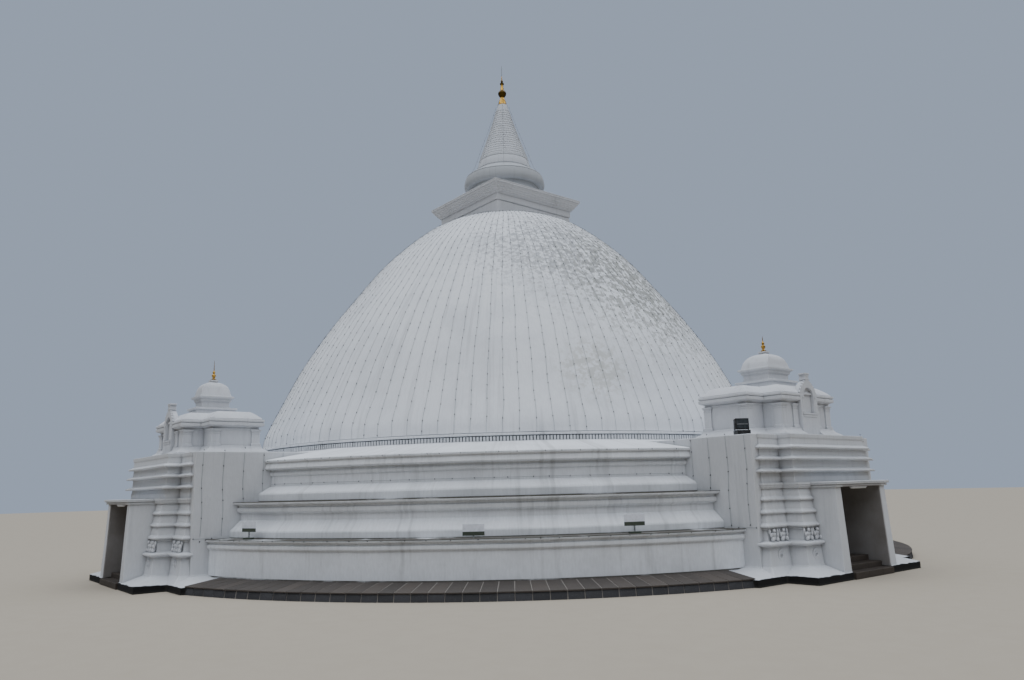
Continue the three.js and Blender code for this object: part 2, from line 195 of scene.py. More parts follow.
@dataclass(frozen=True)
class Worn:
    """A weathered area: its middle, reach and colour, and how fine and how dense its flecks are."""

    at: Point
    reach: float
    colour: str
    scale: float
    low: float
    high: float
    most: float


@dataclass(frozen=True)
class Limewash(Finish):
    """Limewash brushed over lime plaster.

    Many coats leave a chalky, matt, slightly blue white with brush drags and a hand-smoothed waviness. Rain
    washes soot down it in narrow runs and flakes it where the weather strikes, and dirt stays on flat ledges.
    """

    clean: str = "#e8ebf0"
    dull: str = "#c6cad0"
    grime: str = "#85878b"
    dirt: str = "#5b5954"
    # Colour of the painted shade in the passages.
    soot: str = "#6a625b"
    # Colour of the painted shade in corners and under ledges.
    black: str = "#19191a"
    dust: str = "#66655f"
    round_body: bool = False
    runs: float = 0.3
    # How strong the painted shade in corners and under ledges is.
    patches: float = 0.4
    nooks: float = 0.3
    worn: tuple[Worn, ...] = ()
    ledges: tuple[float, ...] = ()
    foot_band: float = 0.0
    # Whether the passages get painted shade.
    smoked: bool = False

    def look(self, tree: Tree, place: Socket) -> dict[str, object]:
        """Draws brush drags, patches, runs, weathered areas, ledge dirt, painted shade and the painted foot.

        Args:
            tree: The material's tree.
            place: The Object coordinates.

        Returns:
            The shader's inputs.
        """
        across = self.unrolled(tree, place) if self.round_body else place
        # Brush drags, really about 2 mm wide, are drawn 30 mm wide so that they show.
        drawn = put(tree, "ShaderNodeVectorMath", {0: across, 1: (1, 1, 0.2)}, operation="MULTIPLY")
        drags = put(tree, "ShaderNodeTexNoise", {"Vector": drawn, "Scale": 30.0, "Detail": 2.0})
        dragged = put(tree, "ShaderNodeMapRange",
                      {"Value": drags, "From Min": 0.3, "From Max": 0.85, "To Max": 0.3})
        # Patches of older coats, about 1.5 m across.
        cloud = put(tree, "ShaderNodeTexNoise",
                    {"Vector": place, "Scale": 0.55, "Detail": 5.0, "Roughness": 0.6})
        patched = put(tree, "ShaderNodeMapRange",
                      {"Value": cloud, "From Min": 0.46, "From Max": 0.72, "To Max": self.patches})
        # Rain runs, about 60 mm and 250 mm wide.
        fall = put(tree, "ShaderNodeVectorMath", {0: across, 1: (1, 1, 0.06)}, operation="MULTIPLY")
        fine = put(tree, "ShaderNodeTexNoise", {"Vector": fall, "Scale": 9.0, "Detail": 4.0})
        wide = put(tree, "ShaderNodeTexNoise", {"Vector": fall, "Scale": 2.4, "Detail": 3.0})
        both = put(tree, "ShaderNodeMath", {0: fine, 1: wide}, operation="MULTIPLY")
        run = put(tree, "ShaderNodeMapRange",
                  {"Value": both, "From Min": 0.28, "From Max": 0.5, "To Max": self.runs})
        layers = [(dragged, self.dull), (patched, self.dull), (run, self.grime)]
        layers += [(self.weathered(tree, place, area), area.colour) for area in self.worn]
        height = put(tree, "ShaderNodeSeparateXYZ", {0: place}).outputs["Z"]
        layers += [(self.ledged(tree, height, level, cloud), self.dirt) for level in self.ledges]
        # Painted shade: the passages are darkened up to their lintel, where shade falls in them.
        if self.smoked:
            layers.append((self.smoke(tree, place, cloud), self.soot))
        if self.foot_band:
            layers.append((self.foot(tree, place, height), self.black))
        # Painted shade: an ambient occlusion mask darkens corners and the undersides of ledges, within 90 mm
        # of them, towards a grey.
        nook = put(tree, "ShaderNodeAmbientOcclusion", {"Distance": 0.09}, samples=6)
        painted_nook_shade = put(tree, "ShaderNodeMapRange",
                   {"Value": nook.outputs["AO"], "From Min": 0.9, "From Max": 0.35, "To Max": self.nooks})
        layers.append((painted_nook_shade, self.dust))
        lumps = put(tree, "ShaderNodeTexNoise", {"Vector": place, "Scale": 6.0, "Detail": 4.0})
        relief = put(tree, "ShaderNodeMath", {0: drags, 1: 0.25, 2: lumps}, operation="MULTIPLY_ADD")
        bump = put(tree, "ShaderNodeBump", {"Height": relief, "Strength": 0.3, "Distance": 0.02})
        return {"Base Color": laid(tree, self.clean, layers), "Roughness": 0.92, "IOR": 1.5,
                "Specular IOR Level": 0.25, "Normal": bump}

    def unrolled(self, tree: Tree, place: Socket) -> Node:
        """Takes the way from the axis times 9 m, so that runs follow the fall line and don't widen.

        Args:
            tree: The material's tree.
            place: The Object coordinates.

        Returns:
            The node that gives it.
        """
        level = put(tree, "ShaderNodeVectorMath", {0: place, 1: (1, 1, 0)}, operation="MULTIPLY")
        way = put(tree, "ShaderNodeVectorMath", {0: level}, operation="NORMALIZE")
        height = put(tree, "ShaderNodeVectorMath", {0: place, 1: (0, 0, 1)}, operation="MULTIPLY")
        return put(tree, "ShaderNodeVectorMath", {0: way, 1: (9, 9, 9), 2: height}, operation="MULTIPLY_ADD")

    def weathered(self, tree: Tree, place: Socket, area: Worn) -> Node:
        """The share of one weathered area, in flecks that thin out towards its edge.

        Args:
            tree: The material's tree.
            place: The Object coordinates.
            area: The area.

        Returns:
            The node that gives the share.
        """
        away = put(tree, "ShaderNodeVectorMath", {0: place, 1: area.at}, operation="DISTANCE")
        near = put(tree, "ShaderNodeMapRange",
                   {"Value": away, "From Min": area.reach, "From Max": area.reach * 0.2},
                   interpolation_type="SMOOTHSTEP")
        flecks = put(tree, "ShaderNodeTexNoise",
                     {"Vector": place, "Scale": area.scale, "Detail": 6.0, "Roughness": 0.66})
        denser = put(tree, "ShaderNodeMath", {0: near, 1: 0.09, 2: flecks}, operation="MULTIPLY_ADD")
        worn = put(tree, "ShaderNodeMapRange",
                   {"Value": denser, "From Min": area.low, "From Max": area.high, "To Max": area.most})
        return put(tree, "ShaderNodeMath", {0: worn, 1: near}, operation="MULTIPLY")

    def ledged(self, tree: Tree, height: Socket, level: float, cloud: Node) -> Node:
        """The share of dirt on a flat ledge, broken by the clouds of the patches.

        Args:
            tree: The material's tree.
            height: The height above the ground.
            level: The ledge's height.
            cloud: The clouds of the patches.

        Returns:
            The node that gives the share.
        """
        off = put(tree, "ShaderNodeMath", {0: height, 1: level, 2: 0.02}, operation="COMPARE")
        dirt = put(tree, "ShaderNodeMapRange", {"Value": cloud, "From Min": 0.3, "From Max": 0.46})
        return put(tree, "ShaderNodeMath", {0: off, 1: dirt}, operation="MULTIPLY")

    def smoke(self, tree: Tree, place: Socket, cloud: Node) -> Node:
        """The share of painted shade in the passages, which cross on both level axes.

        Args:
            tree: The material's tree.
            place: The Object coordinates.
            cloud: The clouds of the patches.

        Returns:
            The node that gives the share.
        """
        axes = put(tree, "ShaderNodeSeparateXYZ", {0: place})
        along = put(tree, "ShaderNodeMath", {0: axes.outputs["X"]}, operation="ABSOLUTE")
        across = put(tree, "ShaderNodeMath", {0: axes.outputs["Y"]}, operation="ABSOLUTE")
        off = put(tree, "ShaderNodeMath", {0: along, 1: across}, operation="MINIMUM")
        inside = put(tree, "ShaderNodeMapRange", {"Value": off, "From Min": PASSAGE_HALF + 0.05,
                                                  "From Max": PASSAGE_HALF - 0.005})
        low = put(tree, "ShaderNodeMapRange", {"Value": axes.outputs["Z"], "From Min": PASSAGE_TOP + 0.06,
                                               "From Max": PASSAGE_TOP - 0.01})
        within = put(tree, "ShaderNodeMath", {0: inside, 1: low}, operation="MULTIPLY")
        uneven = put(tree, "ShaderNodeMapRange", {"Value": cloud, "From Min": 0.3, "From Max": 0.6,
                                                  "To Min": 0.65, "To Max": 0.88})
        return put(tree, "ShaderNodeMath", {0: within, 1: uneven}, operation="MULTIPLY")

    def foot(self, tree: Tree, place: Socket, height: Socket) -> Node:
        """The share of the black foot, which is painted up to a hand-drawn, wavy edge.

        Args:
            tree: The material's tree.
            place: The Object coordinates.
            height: The height above the ground.

        Returns:
            The node that gives the share.
        """
        wave = put(tree, "ShaderNodeTexNoise", {"Vector": place, "Scale": 2.5, "Detail": 3.0})
        edge = put(tree, "ShaderNodeMath", {0: wave, 1: 0.08, 2: height}, operation="MULTIPLY_ADD")
        return put(tree, "ShaderNodeMapRange", {"Value": edge, "From Min": self.foot_band + 0.041,
                                                "From Max": self.foot_band + 0.029})


@dataclass(frozen=True)
class Stone(Finish):
    """Worn dark stone, split and rubbed by feet: fine specks, a slight gloss, each block its own tone."""

    light: str
    dark: str
    speck: str

    def look(self, tree: Tree, place: Socket) -> dict[str, object]:
        """Draws block tones, mottling and specks.

        Args:
            tree: The material's tree.
            place: The Object coordinates.

        Returns:
            The shader's inputs.
        """
        tone = put(tree, "ShaderNodeAttribute", attribute_name="tone").outputs["Fac"]
        mottle = put(tree, "ShaderNodeTexNoise",
                     {"Vector": place, "Scale": 3.0, "Detail": 5.0, "Roughness": 0.6})
        part = put(tree, "ShaderNodeMath", {0: mottle, 1: 0.6}, operation="MULTIPLY")
        toned = put(tree, "ShaderNodeMath", {0: tone, 1: 0.55, 2: part}, operation="MULTIPLY_ADD")
        # Mineral specks of 3 to 5 mm are drawn about 20 mm wide so that they show.
        specks = put(tree, "ShaderNodeTexNoise", {"Vector": place, "Scale": 45.0, "Detail": 2.0})
        specked = put(tree, "ShaderNodeMapRange",
                      {"Value": specks, "From Min": 0.58, "From Max": 0.75, "To Max": 0.5})
        rough = put(tree, "ShaderNodeMath", {0: mottle, 1: 0.3, 2: 0.6}, operation="MULTIPLY_ADD")
        bump = put(tree, "ShaderNodeBump", {"Height": mottle, "Strength": 0.4, "Distance": 0.01})
        return {"Base Color": laid(tree, self.dark, [(toned, self.light), (specked, self.speck)]),
                "Roughness": rough, "IOR": 1.55, "Normal": bump}


@dataclass(frozen=True)
class Mortar(Finish):
    """Lime mortar or screed: sandy and matt, with cloudy lime patches."""

    sand: str
    lime: str

    def look(self, tree: Tree, place: Socket) -> dict[str, object]:
        """Draws sand grains, 15 mm wide instead of 1 mm so that they show, and clouds of lime.

        Args:
            tree: The material's tree.
            place: The Object coordinates.

        Returns:
            The shader's inputs.
        """
        grains = put(tree, "ShaderNodeTexNoise", {"Vector": place, "Scale": 60.0, "Detail": 2.0})
        cloud = put(tree, "ShaderNodeTexNoise", {"Vector": place, "Scale": 2.0, "Detail": 4.0})
        part = put(tree, "ShaderNodeMath", {0: grains, 1: cloud}, operation="MULTIPLY")
        limed = put(tree, "ShaderNodeMath", {0: part, 1: 2.0}, operation="MULTIPLY")
        bump = put(tree, "ShaderNodeBump", {"Height": grains, "Strength": 0.3, "Distance": 0.005})
        return {"Base Color": laid(tree, self.sand, [(limed, self.lime)]), "Roughness": 0.95, "Normal": bump}


@dataclass(frozen=True)
class Metal(Finish):
    """Weathered metal: gilt copper, old brass, galvanised steel or cast aluminium.

    It is bright where hands and wind have burnished it, and dull and rougher where an oxide cloud lies.
    """

    light: str
    dark: str
    rough: float
    tarnish: float = 0.75

    def look(self, tree: Tree, place: Socket) -> dict[str, object]:
        """Draws tarnish in clouds about 100 mm across that are also rougher.

        Args:
            tree: The material's tree.
            place: The Object coordinates.

        Returns:
            The shader's inputs.
        """
        cloud = put(tree, "ShaderNodeTexNoise",
                    {"Vector": place, "Scale": 9.0, "Detail": 5.0, "Roughness": 0.6})
        dulled = put(tree, "ShaderNodeMapRange",
                     {"Value": cloud, "From Min": 0.4, "From Max": 0.7, "To Max": self.tarnish})
        rough = put(tree, "ShaderNodeMath", {0: dulled, 1: 0.3, 2: self.rough}, operation="MULTIPLY_ADD")
        bump = put(tree, "ShaderNodeBump", {"Height": cloud, "Strength": 0.15, "Distance": 0.01})
        return {"Base Color": laid(tree, self.light, [(dulled, self.dark)]), "Roughness": rough,
                "Metallic": 1.0, "Normal": bump}


@dataclass(frozen=True)
class Coated(Finish):
    """A painted or moulded surface of one colour: cable, sheet paint, a plastic diffuser or lamp glass."""

    colour: str
    dust: str
    rough: float
    ior: float = 1.5

    def look(self, tree: Tree, place: Socket) -> dict[str, object]:
        """Draws dust that has settled in clouds.

        Args:
            tree: The material's tree.
            place: The Object coordinates.

        Returns:
            The shader's inputs.
        """
        cloud = put(tree, "ShaderNodeTexNoise", {"Vector": place, "Scale": 9.0, "Detail": 4.0})
        dusty = put(tree, "ShaderNodeMapRange",
                    {"Value": cloud, "From Min": 0.4, "From Max": 0.75, "To Max": 0.7})
        rough = put(tree, "ShaderNodeMath", {0: dusty, 1: 0.25, 2: self.rough}, operation="MULTIPLY_ADD")
        return {"Base Color": laid(tree, self.colour, [(dusty, self.dust)]), "Roughness": rough,
                "IOR": self.ior}


LIMEWASH = Limewash("limewash_on_plaster", clean="#d0d2d7", dull="#b0b2b6")
TERRACE_WASH = Limewash("limewash_on_terraces", clean="#e4e7ec", dull="#b9bbbe", grime="#6f6e6c",
                        round_body=True, runs=0.4, patches=0.45,
                        ledges=(KERB_TOP + 0.005, LOWER_LEDGE, MIDDLE_LEDGE))
DOME_WASH = Limewash("limewash_on_dome", round_body=True, patches=0.5, worn=(
    Worn((6.7, 0.8, 10.6), 6.5, "#85867f", 4.5, 0.555, 0.6, 0.75),
    Worn((5.2, -2.2, 11.8), 4.8, "#93959a", 6.0, 0.575, 0.61, 0.6),
    Worn((8.7, -3.4, 6.4), 1.9, "#a3a296", 4.0, 0.52, 0.62, 0.45),
))
# The gatehouses' wash also darkens the passages as painted shade.
GATE_WASH = Limewash("limewash_over_black_foot", clean="#cdcfd3", dull="#b2b4b7", runs=0.22, patches=0.25,
                     foot_band=0.2, smoked=True)
CROWN_WASH = Limewash("limewash_on_crown", clean="#d3d7de", dull="#aeb2b8", round_body=True)
# Painted shade: the drum and its big ring take a darker copy of the crown's wash, as the shade under the
# ring.
SHADE_PAINTED_DRUM_WASH = Limewash("limewash_on_drum", clean="#b6babf", dull="#95989c", round_body=True, runs=0.4)
# Painted shade: a dark limewash for the recessed band behind the dentils.
SHADE_PAINTED_RECESS_WASH = Limewash("limewash_in_recesses", clean="#77797b", dull="#5a5b5c", grime="#3e3f40")
KERB_SLAB = Stone("kerb_slab_stone", light="#4a423c", dark="#282421", speck="#6d635a")
KERB_EDGE = Stone("kerb_edge_stone", light="#38383c", dark="#1c1c1f", speck="#5c5c60")
STEP_STONE = Stone("step_stone", light="#4a3f35", dark="#2a241f", speck="#6a5c4d")
MORTAR = Mortar("kerb_mortar", sand="#6c6762", lime="#85807a")
GILT = Metal("gilt_copper", "#c39a4c", "#665024", 0.3)
OLD_BRASS = Metal("old_brass", "#5f4a1e", "#2b2415", 0.4)
GALVANISED = Metal("galvanised_steel", "#9a9da0", "#5e6266", 0.45)
CAST = Metal("cast_aluminium", "#8b8e92", "#4f5357", 0.5)
CABLE = Coated("pvc_cable", "#7b7f84", "#9a9ea2", 0.55)
LAMP = Coated("lamp_glass", "#191b1e", "#3a3d41", 0.2, 1.52)
BLACK_PAINT = Coated("black_paint", "#121212", "#2a2a29", 0.45)
PLATE = Coated("white_sheet_paint", "#dfe3ee", "#c5c9d2", 0.4)
GREEN_PAINT = Coated("dark_green_paint", "#3a4238", "#4d554a", 0.4)
FLOOD_GLASS = Coated("flood_lamp_glass", "#33373b", "#4b5055", 0.12, 1.52)
DIFFUSER = Coated("opal_diffuser", "#f2f4f5", "#dcdfe1", 0.3, 1.49)
FLOOR = Mortar("studio_floor", sand="#a49a8b", lime="#aaa192")


@dataclass(frozen=True)
class Corner:
    """A corner of a plan: its place, and how far it moves for each metre that a moulding stands out."""

    x: float
    y: float
    out_x: float = 0.0
    out_y: float = 0.0

    def at(self, reach: float, height: float) -> Point:
        """The corner's place at a height where the wall stands out by reach."""
        return self.x + reach * self.out_x, self.y + reach * self.out_y, height


@dataclass(frozen=True)
class Plan:
    """A closed plan, counter-clockwise seen from above."""

    corners: tuple[Corner, ...]

    @staticmethod
    def mirrored(*half: tuple[float, ...]) -> "Plan":
        """Makes a plan, alike on both sides, from the numbers of its corners on the -Y side, in order."""
        corners = [Corner(*numbers) for numbers in half]
        return Plan((*corners, *(Corner(c.x, -c.y, c.out_x, -c.out_y) for c in reversed(corners))))

    @staticmethod
    def stepped(front: Sequence[Flat], back: float) -> "Plan":
        """Makes a plan, alike on both sides, that steps out from a back line.

        Args:
            front: (half width, x of that front) from the broadest and rearmost to the narrowest.
            back: x of the back line, which mouldings don't move.

        Returns:
            The plan.
        """
        half = [(back, -front[0][0], 0, -1)]
        for (wide, x), (narrow, _) in zip(front, (*front[1:], (0.0, 0.0))):
            half.append((x, -wide, 1, -1))
            if narrow:
                half.append((x, -narrow, 1, -1))
        return Plan.mirrored(*half)

    @staticmethod
    def block(x0: float, x1: float, half: float, *, middle: float = 0.0) -> "Plan":
        """Makes a rectangular plan, free on all four sides, that reaches half to either side of middle.

        Args:
            x0: x of its back.
            x1: x of its front.
            half: Half its width.
            middle: y of its middle line.

        Returns:
            The plan.
        """
        low, high = middle - half, middle + half
        return Plan((Corner(x0, low, -1, -1), Corner(x1, low, 1, -1),
                     Corner(x1, high, 1, 1), Corner(x0, high, -1, 1)))

    def dressed(self, arris: float, step: float) -> "Plan":
        """Eases the outer corners and divides the long sides.

        Args:
            arris: How far back from a corner the rounding starts, or 0 for none.
            step: The longest side that stays whole.

        Returns:
            The plan with more corners.
        """
        eased: list[Corner] = []
        count = len(self.corners)
        for i, corner in enumerate(self.corners):
            before, after = self.corners[i - 1], self.corners[(i + 1) % count]
            come = Vector((corner.x - before.x, corner.y - before.y))
            go = Vector((after.x - corner.x, after.y - corner.y))
            if arris == 0 or come.cross(go) <= 0 or min(come.length, go.length) < 3 * arris:
                eased.append(corner)
                continue
            come = come.normalized() * arris
            go = go.normalized() * arris
            middle = (go - come) * 0.29
            for shift in (-come, middle, go):
                eased.append(Corner(corner.x + shift.x, corner.y + shift.y, corner.out_x, corner.out_y))
        divided: list[Corner] = []
        for i, start in enumerate(eased):
            stop = eased[(i + 1) % len(eased)]
            parts = max(1, math.ceil(math.hypot(stop.x - start.x, stop.y - start.y) / step))
            for k in range(parts):
                share = k / parts
                ends = zip((start.x, start.y, start.out_x, start.out_y),
                           (stop.x, stop.y, stop.out_x, stop.out_y))
                divided.append(Corner(*(a + (b - a) * share for a, b in ends)))
        return Plan(tuple(divided))


def softened(outline: Sequence[Flat], cut: float) -> Outline:
    """Eases each sharp corner of an outline with two points.

    Args:
        outline: (reach, height) points.
        cut: How far from a corner the two points lie, at most.

    Returns:
        The eased outline.
    """
    line = [Vector(p) for p in outline]
    eased = [line[0]]
    for before, corner, after in zip(line, line[1:], line[2:]):
        come, go = corner - before, after - corner
        if come.length < 1e-6 or go.length < 1e-6 or come.angle(go) < 0.35:
            eased.append(corner)
            continue
        near = min(cut, come.length * 0.4, go.length * 0.4)
        eased.append(corner - come.normalized() * near)
        eased.append(corner + go.normalized() * near)
    eased.append(line[-1])
    return [(p.x, p.y) for p in eased]


def filleted(tip: float, reach: float) -> Outline:
    """A fillet's outline: a flat underside, a thin lip whose top is at the tip, and a sloping top."""
    return [(0, tip - 0.045), (reach - 0.015, tip - 0.04), (reach, tip), (0.012, tip + 0.07)]


def bearings(count: int) -> list[float]:
    """The angles of equal steps round a circle."""
    return [2 * math.pi * i / count for i in range(count)]


def quarter(clear: float, radius: float) -> Flat:
    """The angles where a quarter of a ring starts and stops, this far off the two level axes."""
    edge = math.asin(clear / radius)
    return edge, math.pi / 2 - edge


@dataclass
class Shape:
    """Points and faces of a piece, made of closed bodies, each face with the number of its finish."""

    points: list[Point] = field(default_factory=list)
    faces: list[tuple[int, ...]] = field(default_factory=list)
    finishes: list[int] = field(default_factory=list)

    def body(self, rings: Sequence[Sequence[Point]], finish: int = 0) -> None:
        """Adds a closed body through rings of equally many points, with a flat cap at either end.

        Args:
            rings: The points of each ring, from one end to the other.
            finish: The number of its finish.
        """
        start, count = len(self.points), len(rings[0])
        for ring in rings:
            self.points.extend(ring)
        faces = [tuple(range(start + count - 1, start - 1, -1))]
        for low in range(start, start + count * (len(rings) - 1), count):
            for i in range(count):
                j = (i + 1) % count
                faces.append((low + i, low + j, low + count + j, low + count + i))
        last = start + count * (len(rings) - 1)
        faces.append(tuple(range(last, last + count)))
        self.faces.extend(faces)
        self.finishes.extend([finish] * len(faces))

    def merge(self, other: "Shape") -> None:
        """Adds another shape's bodies.

        Args:
            other: The other shape.
        """
        start = len(self.points)
        self.points.extend(other.points)
        self.faces.extend(tuple(start + i for i in face) for face in other.faces)
        self.finishes.extend(other.finishes)

    def moulded(self, plan: Plan, outline: Sequence[Flat], finish: int = 0) -> None:
        """Adds a body whose sides follow an outline of (reach, height) round a plan."""
        self.body([[c.at(reach, height) for c in plan.corners] for reach, height in outline], finish)

    def turned(self, outline: Sequence[Flat], segments: int, middle: Flat = (0, 0), finish: int = 0) -> None:
        """Adds a body turned about an upright axis; the outline is (radius, height) from the bottom up.

        Args:
            outline: Its (radius, height) points.
            segments: The parts of its circle.
            middle: Where its axis stands.
            finish: The number of its finish.
        """
        turns = bearings(segments)
        self.body([[(middle[0] + r * math.cos(a), middle[1] + r * math.sin(a), z) for a in turns]
                   for r, z in outline], finish)

    def arc(self, section: Sequence[Flat], clear: float, parts: int) -> None:
        """Adds a quarter of a ring.

        Args:
            section: A closed section as (radius, height), counter-clockwise with the axis to its left.
            clear: How far off the planes of the two level axes it starts and stops.
            parts: Into how many slices it is divided.
        """
        rings = []
        for i in range(parts, -1, -1):
            ring = []
            for radius, height in section:
                start, stop = quarter(clear, radius)
                angle = start + (stop - start) * i / parts
                ring.append((radius * math.cos(angle), radius * math.sin(angle), height))
            rings.append(ring)
        self.body(rings)

    def box(self, low: Point, high: Point, finish: int = 0, arris: float = 0.0) -> None:
        """Adds a block between two corners, its edges eased where there is an arris.

        Args:
            low: Its lowest corner.
            high: Its highest corner.
            finish: The number of its finish.
            arris: How far back from an edge the easing starts.
        """
        half, middle = (high[1] - low[1]) / 2, (high[1] + low[1]) / 2
        plan = Plan.block(low[0] + arris, high[0] - arris, half - arris, middle=middle)
        outline = [(arris, low[2]), (arris, high[2])]
        if arris:
            outline = [(0, low[2]), (arris, low[2] + arris), (arris, high[2] - arris), (0, high[2])]
        self.moulded(plan, outline, finish)

    def ball(self, middle: Point, radii: Point, segments: int = 8, rows: int = 5) -> None:
        """Adds an ellipsoid with small flat poles.

        Args:
            middle: Its middle.
            radii: Its radii along X, Y and Z.
            segments: The parts of each level ring.
            rows: The steps from pole to pole.
        """
        rings = []
        for row in range(rows + 1):
            tilt = math.pi * (0.06 + 0.88 * row / rows)
            r, z = math.sin(tilt), -math.cos(tilt)
            rings.append([(middle[0] + radii[0] * r * math.cos(a), middle[1] + radii[1] * r * math.sin(a),
                           middle[2] + radii[2] * z) for a in bearings(segments)])
        self.body(rings)

    def upright(self, edge: Sequence[Flat], back: float, front: float) -> None:
        """Adds a body from an outline of (across, height) that stands between two distances."""
        self.body([[(x, y, z) for y, z in edge] for x in (back, front)])

    def tapered(self, middle: float, levels: Sequence[Point], parts: int = 3) -> None:
        """Adds a tower of rectangular levels.

        Args:
            middle: Its middle along X.
            levels: Half length, half width and height of each level, from the bottom up.
            parts: Into how many parts each side is divided.
        """
        rings = []
        for half_x, half_y, height in levels:
            corners = [(half_x, -half_y), (half_x, half_y), (-half_x, half_y), (-half_x, -half_y)]
            ring = []
            for (x0, y0), (x1, y1) in zip(corners, corners[1:] + corners[:1]):
                for k in range(parts + 1):
                    share = 0.015 + 0.97 * k / parts
                    ring.append((middle + x0 + (x1 - x0) * share, y0 + (y1 - y0) * share, height))
            rings.append(ring)
        self.body(rings)

    def hand_smoothed(self, amount: float, turn: float = 0.0) -> None:
        """Turns the points to their side and moves them a little, as hand-laid plaster is never quite true.

        Args:
            amount: How far a point moves at most, about, in metres.
            turn: The turn about the dome's axis that comes first, in radians.
        """
        spin = Matrix.Rotation(turn, 3, "Z")
        moved = []
        for point in self.points:
            p = spin @ Vector(point)
            if amount:
                # Waves of about a metre carry others of about 0.3 m. Feet stay on the ground.
                p = p + noise.noise_vector(p * 0.9) * amount + noise.noise_vector(p * 3.1) * amount * 0.4
                p.z = max(p.z, 0.0) if point[2] > 1e-4 else point[2]
            moved.append(tuple(p))
        self.points = moved


def shown(mesh: bpy.types.Mesh, name: str, nodes: Iterable[str] = ()) -> bpy.types.Object:
    """Puts a mesh in the scene as a piece that rides on the part.

    Args:
        mesh: The finished mesh, in place.
        name: The piece's name.
        nodes: The nodes of the frame that the piece stands for.

    Returns:
        The piece.
    """
    piece = bpy.data.objects.new(name, mesh)
    mesh.name = name
    bpy.context.scene.collection.objects.link(piece)
    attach(piece, BODY)
    if nodes:
        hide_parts(*nodes)
    LOG.info("%s: %d faces", name, len(mesh.polygons))
    return piece


def meshed(shape: Shape, finishes: Sequence[Finish], smooth: float = 0.0) -> bpy.types.Mesh:
    """Turns a shape into a mesh with its materials, its faces pointing outwards.

    Args:
        shape: The closed bodies.
        finishes: The finishes that the faces name by number.
        smooth: The angle in degrees up to which edges are smooth, or 0 for none.

    Returns:
        The mesh.
    """
    mesh = bpy.data.meshes.new("piece")
    mesh.from_pydata(shape.points, [], shape.faces)
    for finish in finishes:
        mesh.materials.append(finish.material())
    mesh.polygons.foreach_set("material_index", shape.finishes)
    work = bmesh.new()
    work.from_mesh(mesh)
    bmesh.ops.recalc_face_normals(work, faces=work.faces)
    work.to_mesh(mesh)
    work.free()
    if smooth:
        mesh.polygons.foreach_set("use_smooth", [True] * len(mesh.polygons))
        mesh.set_sharp_from_angle(angle=math.radians(smooth))
    mesh.update()
    return mesh


def plastered(shape: Shape, node: str, wash: Limewash, rough: float, smooth: float = 12) -> None:
    """Shows a shape as the plaster of a node.

    Args:
        shape: The shape.
        node: The node that it stands for.
        wash: Its limewash.
        rough: How uneven it is by hand, in metres.
        smooth: The angle up to which its edges are smooth, in degrees.
    """
    shape.hand_smoothed(rough)
    shown(meshed(shape, [wash], smooth), f"{node}_plaster", [node])


SOCKETS = {float: "NodeSocketFloat", int: "NodeSocketInt", bpy.types.Object: "NodeSocketObject",
           bpy.types.Material: "NodeSocketMaterial"}


def geometry_tree(name: str, values: dict[str, object]) -> tuple[Tree, Sockets]:
    """Makes an empty geometry tree with an input for each value that it will get.

    Args:
        name: The tree's name.
        values: Each input's name and a value of its kind.

    Returns:
        The tree and the sockets that give its inputs.
    """
    tree = bpy.data.node_groups.new(name, "GeometryNodeTree")
    for way in ("INPUT", "OUTPUT"):
        tree.interface.new_socket("Geometry", in_out=way, socket_type="NodeSocketGeometry")
    for label, value in values.items():
        tree.interface.new_socket(label, in_out="INPUT", socket_type=SOCKETS[type(value)])
    return tree, put(tree, "NodeGroupInput").outputs


def grown(tree: Tree, values: dict[str, object], base: bpy.types.Mesh | None = None) -> bpy.types.Mesh:
    """Runs a geometry tree once and returns its result as a plain mesh.

    Args:
        tree: The tree.
        values: The value of each named input.
        base: The mesh that the tree starts from, if it uses one.

    Returns:
        The mesh, with its materials.
    """
    holder = bpy.data.objects.new("grown", base or bpy.data.meshes.new("grown"))
    bpy.context.scene.collection.objects.link(holder)
    modifier = holder.modifiers.new("grown", "NODES")
    modifier.node_group = tree
    for item in tree.interface.items_tree:
        if item.item_type == "SOCKET" and item.in_out == "INPUT" and item.name in values:
            modifier[item.identifier] = values[item.name]
    evaluated = holder.evaluated_get(bpy.context.evaluated_depsgraph_get())
    mesh = bpy.data.meshes.new_from_object(evaluated)
    bpy.data.objects.remove(holder)
    return mesh


def round_axis(tree: Tree, given: Sockets) -> tuple[Node, Node]:
    """Adds the points for copies round the dome's axis, and the turn of each copy.

    Args:
        tree: The geometry tree.
        given: Its inputs.

    Returns:
        The points and the turns.
    """
    points = put(tree, "GeometryNodePoints", {"Count": given["Count"]})
    index = put(tree, "GeometryNodeInputIndex")
    turn = put(tree, "ShaderNodeMath", {0: index, 1: given["Pitch"], 2: given["First Angle"]},
               operation="MULTIPLY_ADD")
    return points, put(tree, "ShaderNodeCombineXYZ", {"Z": turn})


def hidden(shape: Shape, finishes: Sequence[Finish], name: str) -> bpy.types.Object:
    """Makes an object outside the scene for a tree to repeat."""
    return bpy.data.objects.new(name, meshed(shape, finishes, 40))


def polyline(lines: Iterable[Sequence[Point]]) -> bpy.types.Mesh:
    """Makes a mesh of edges along one or more lines, for a tree to follow.

    Args:
        lines: The points of each line.

    Returns:
        The mesh, without faces.
    """
    points: list[Point] = []
    edges: list[tuple[int, int]] = []
    for line in lines:
        start = len(points)
        points.extend(line)
        edges.extend((i, i + 1) for i in range(start, start + len(line) - 1))
    mesh = bpy.data.meshes.new("lines")
    mesh.from_pydata(points, edges, [])
    return mesh


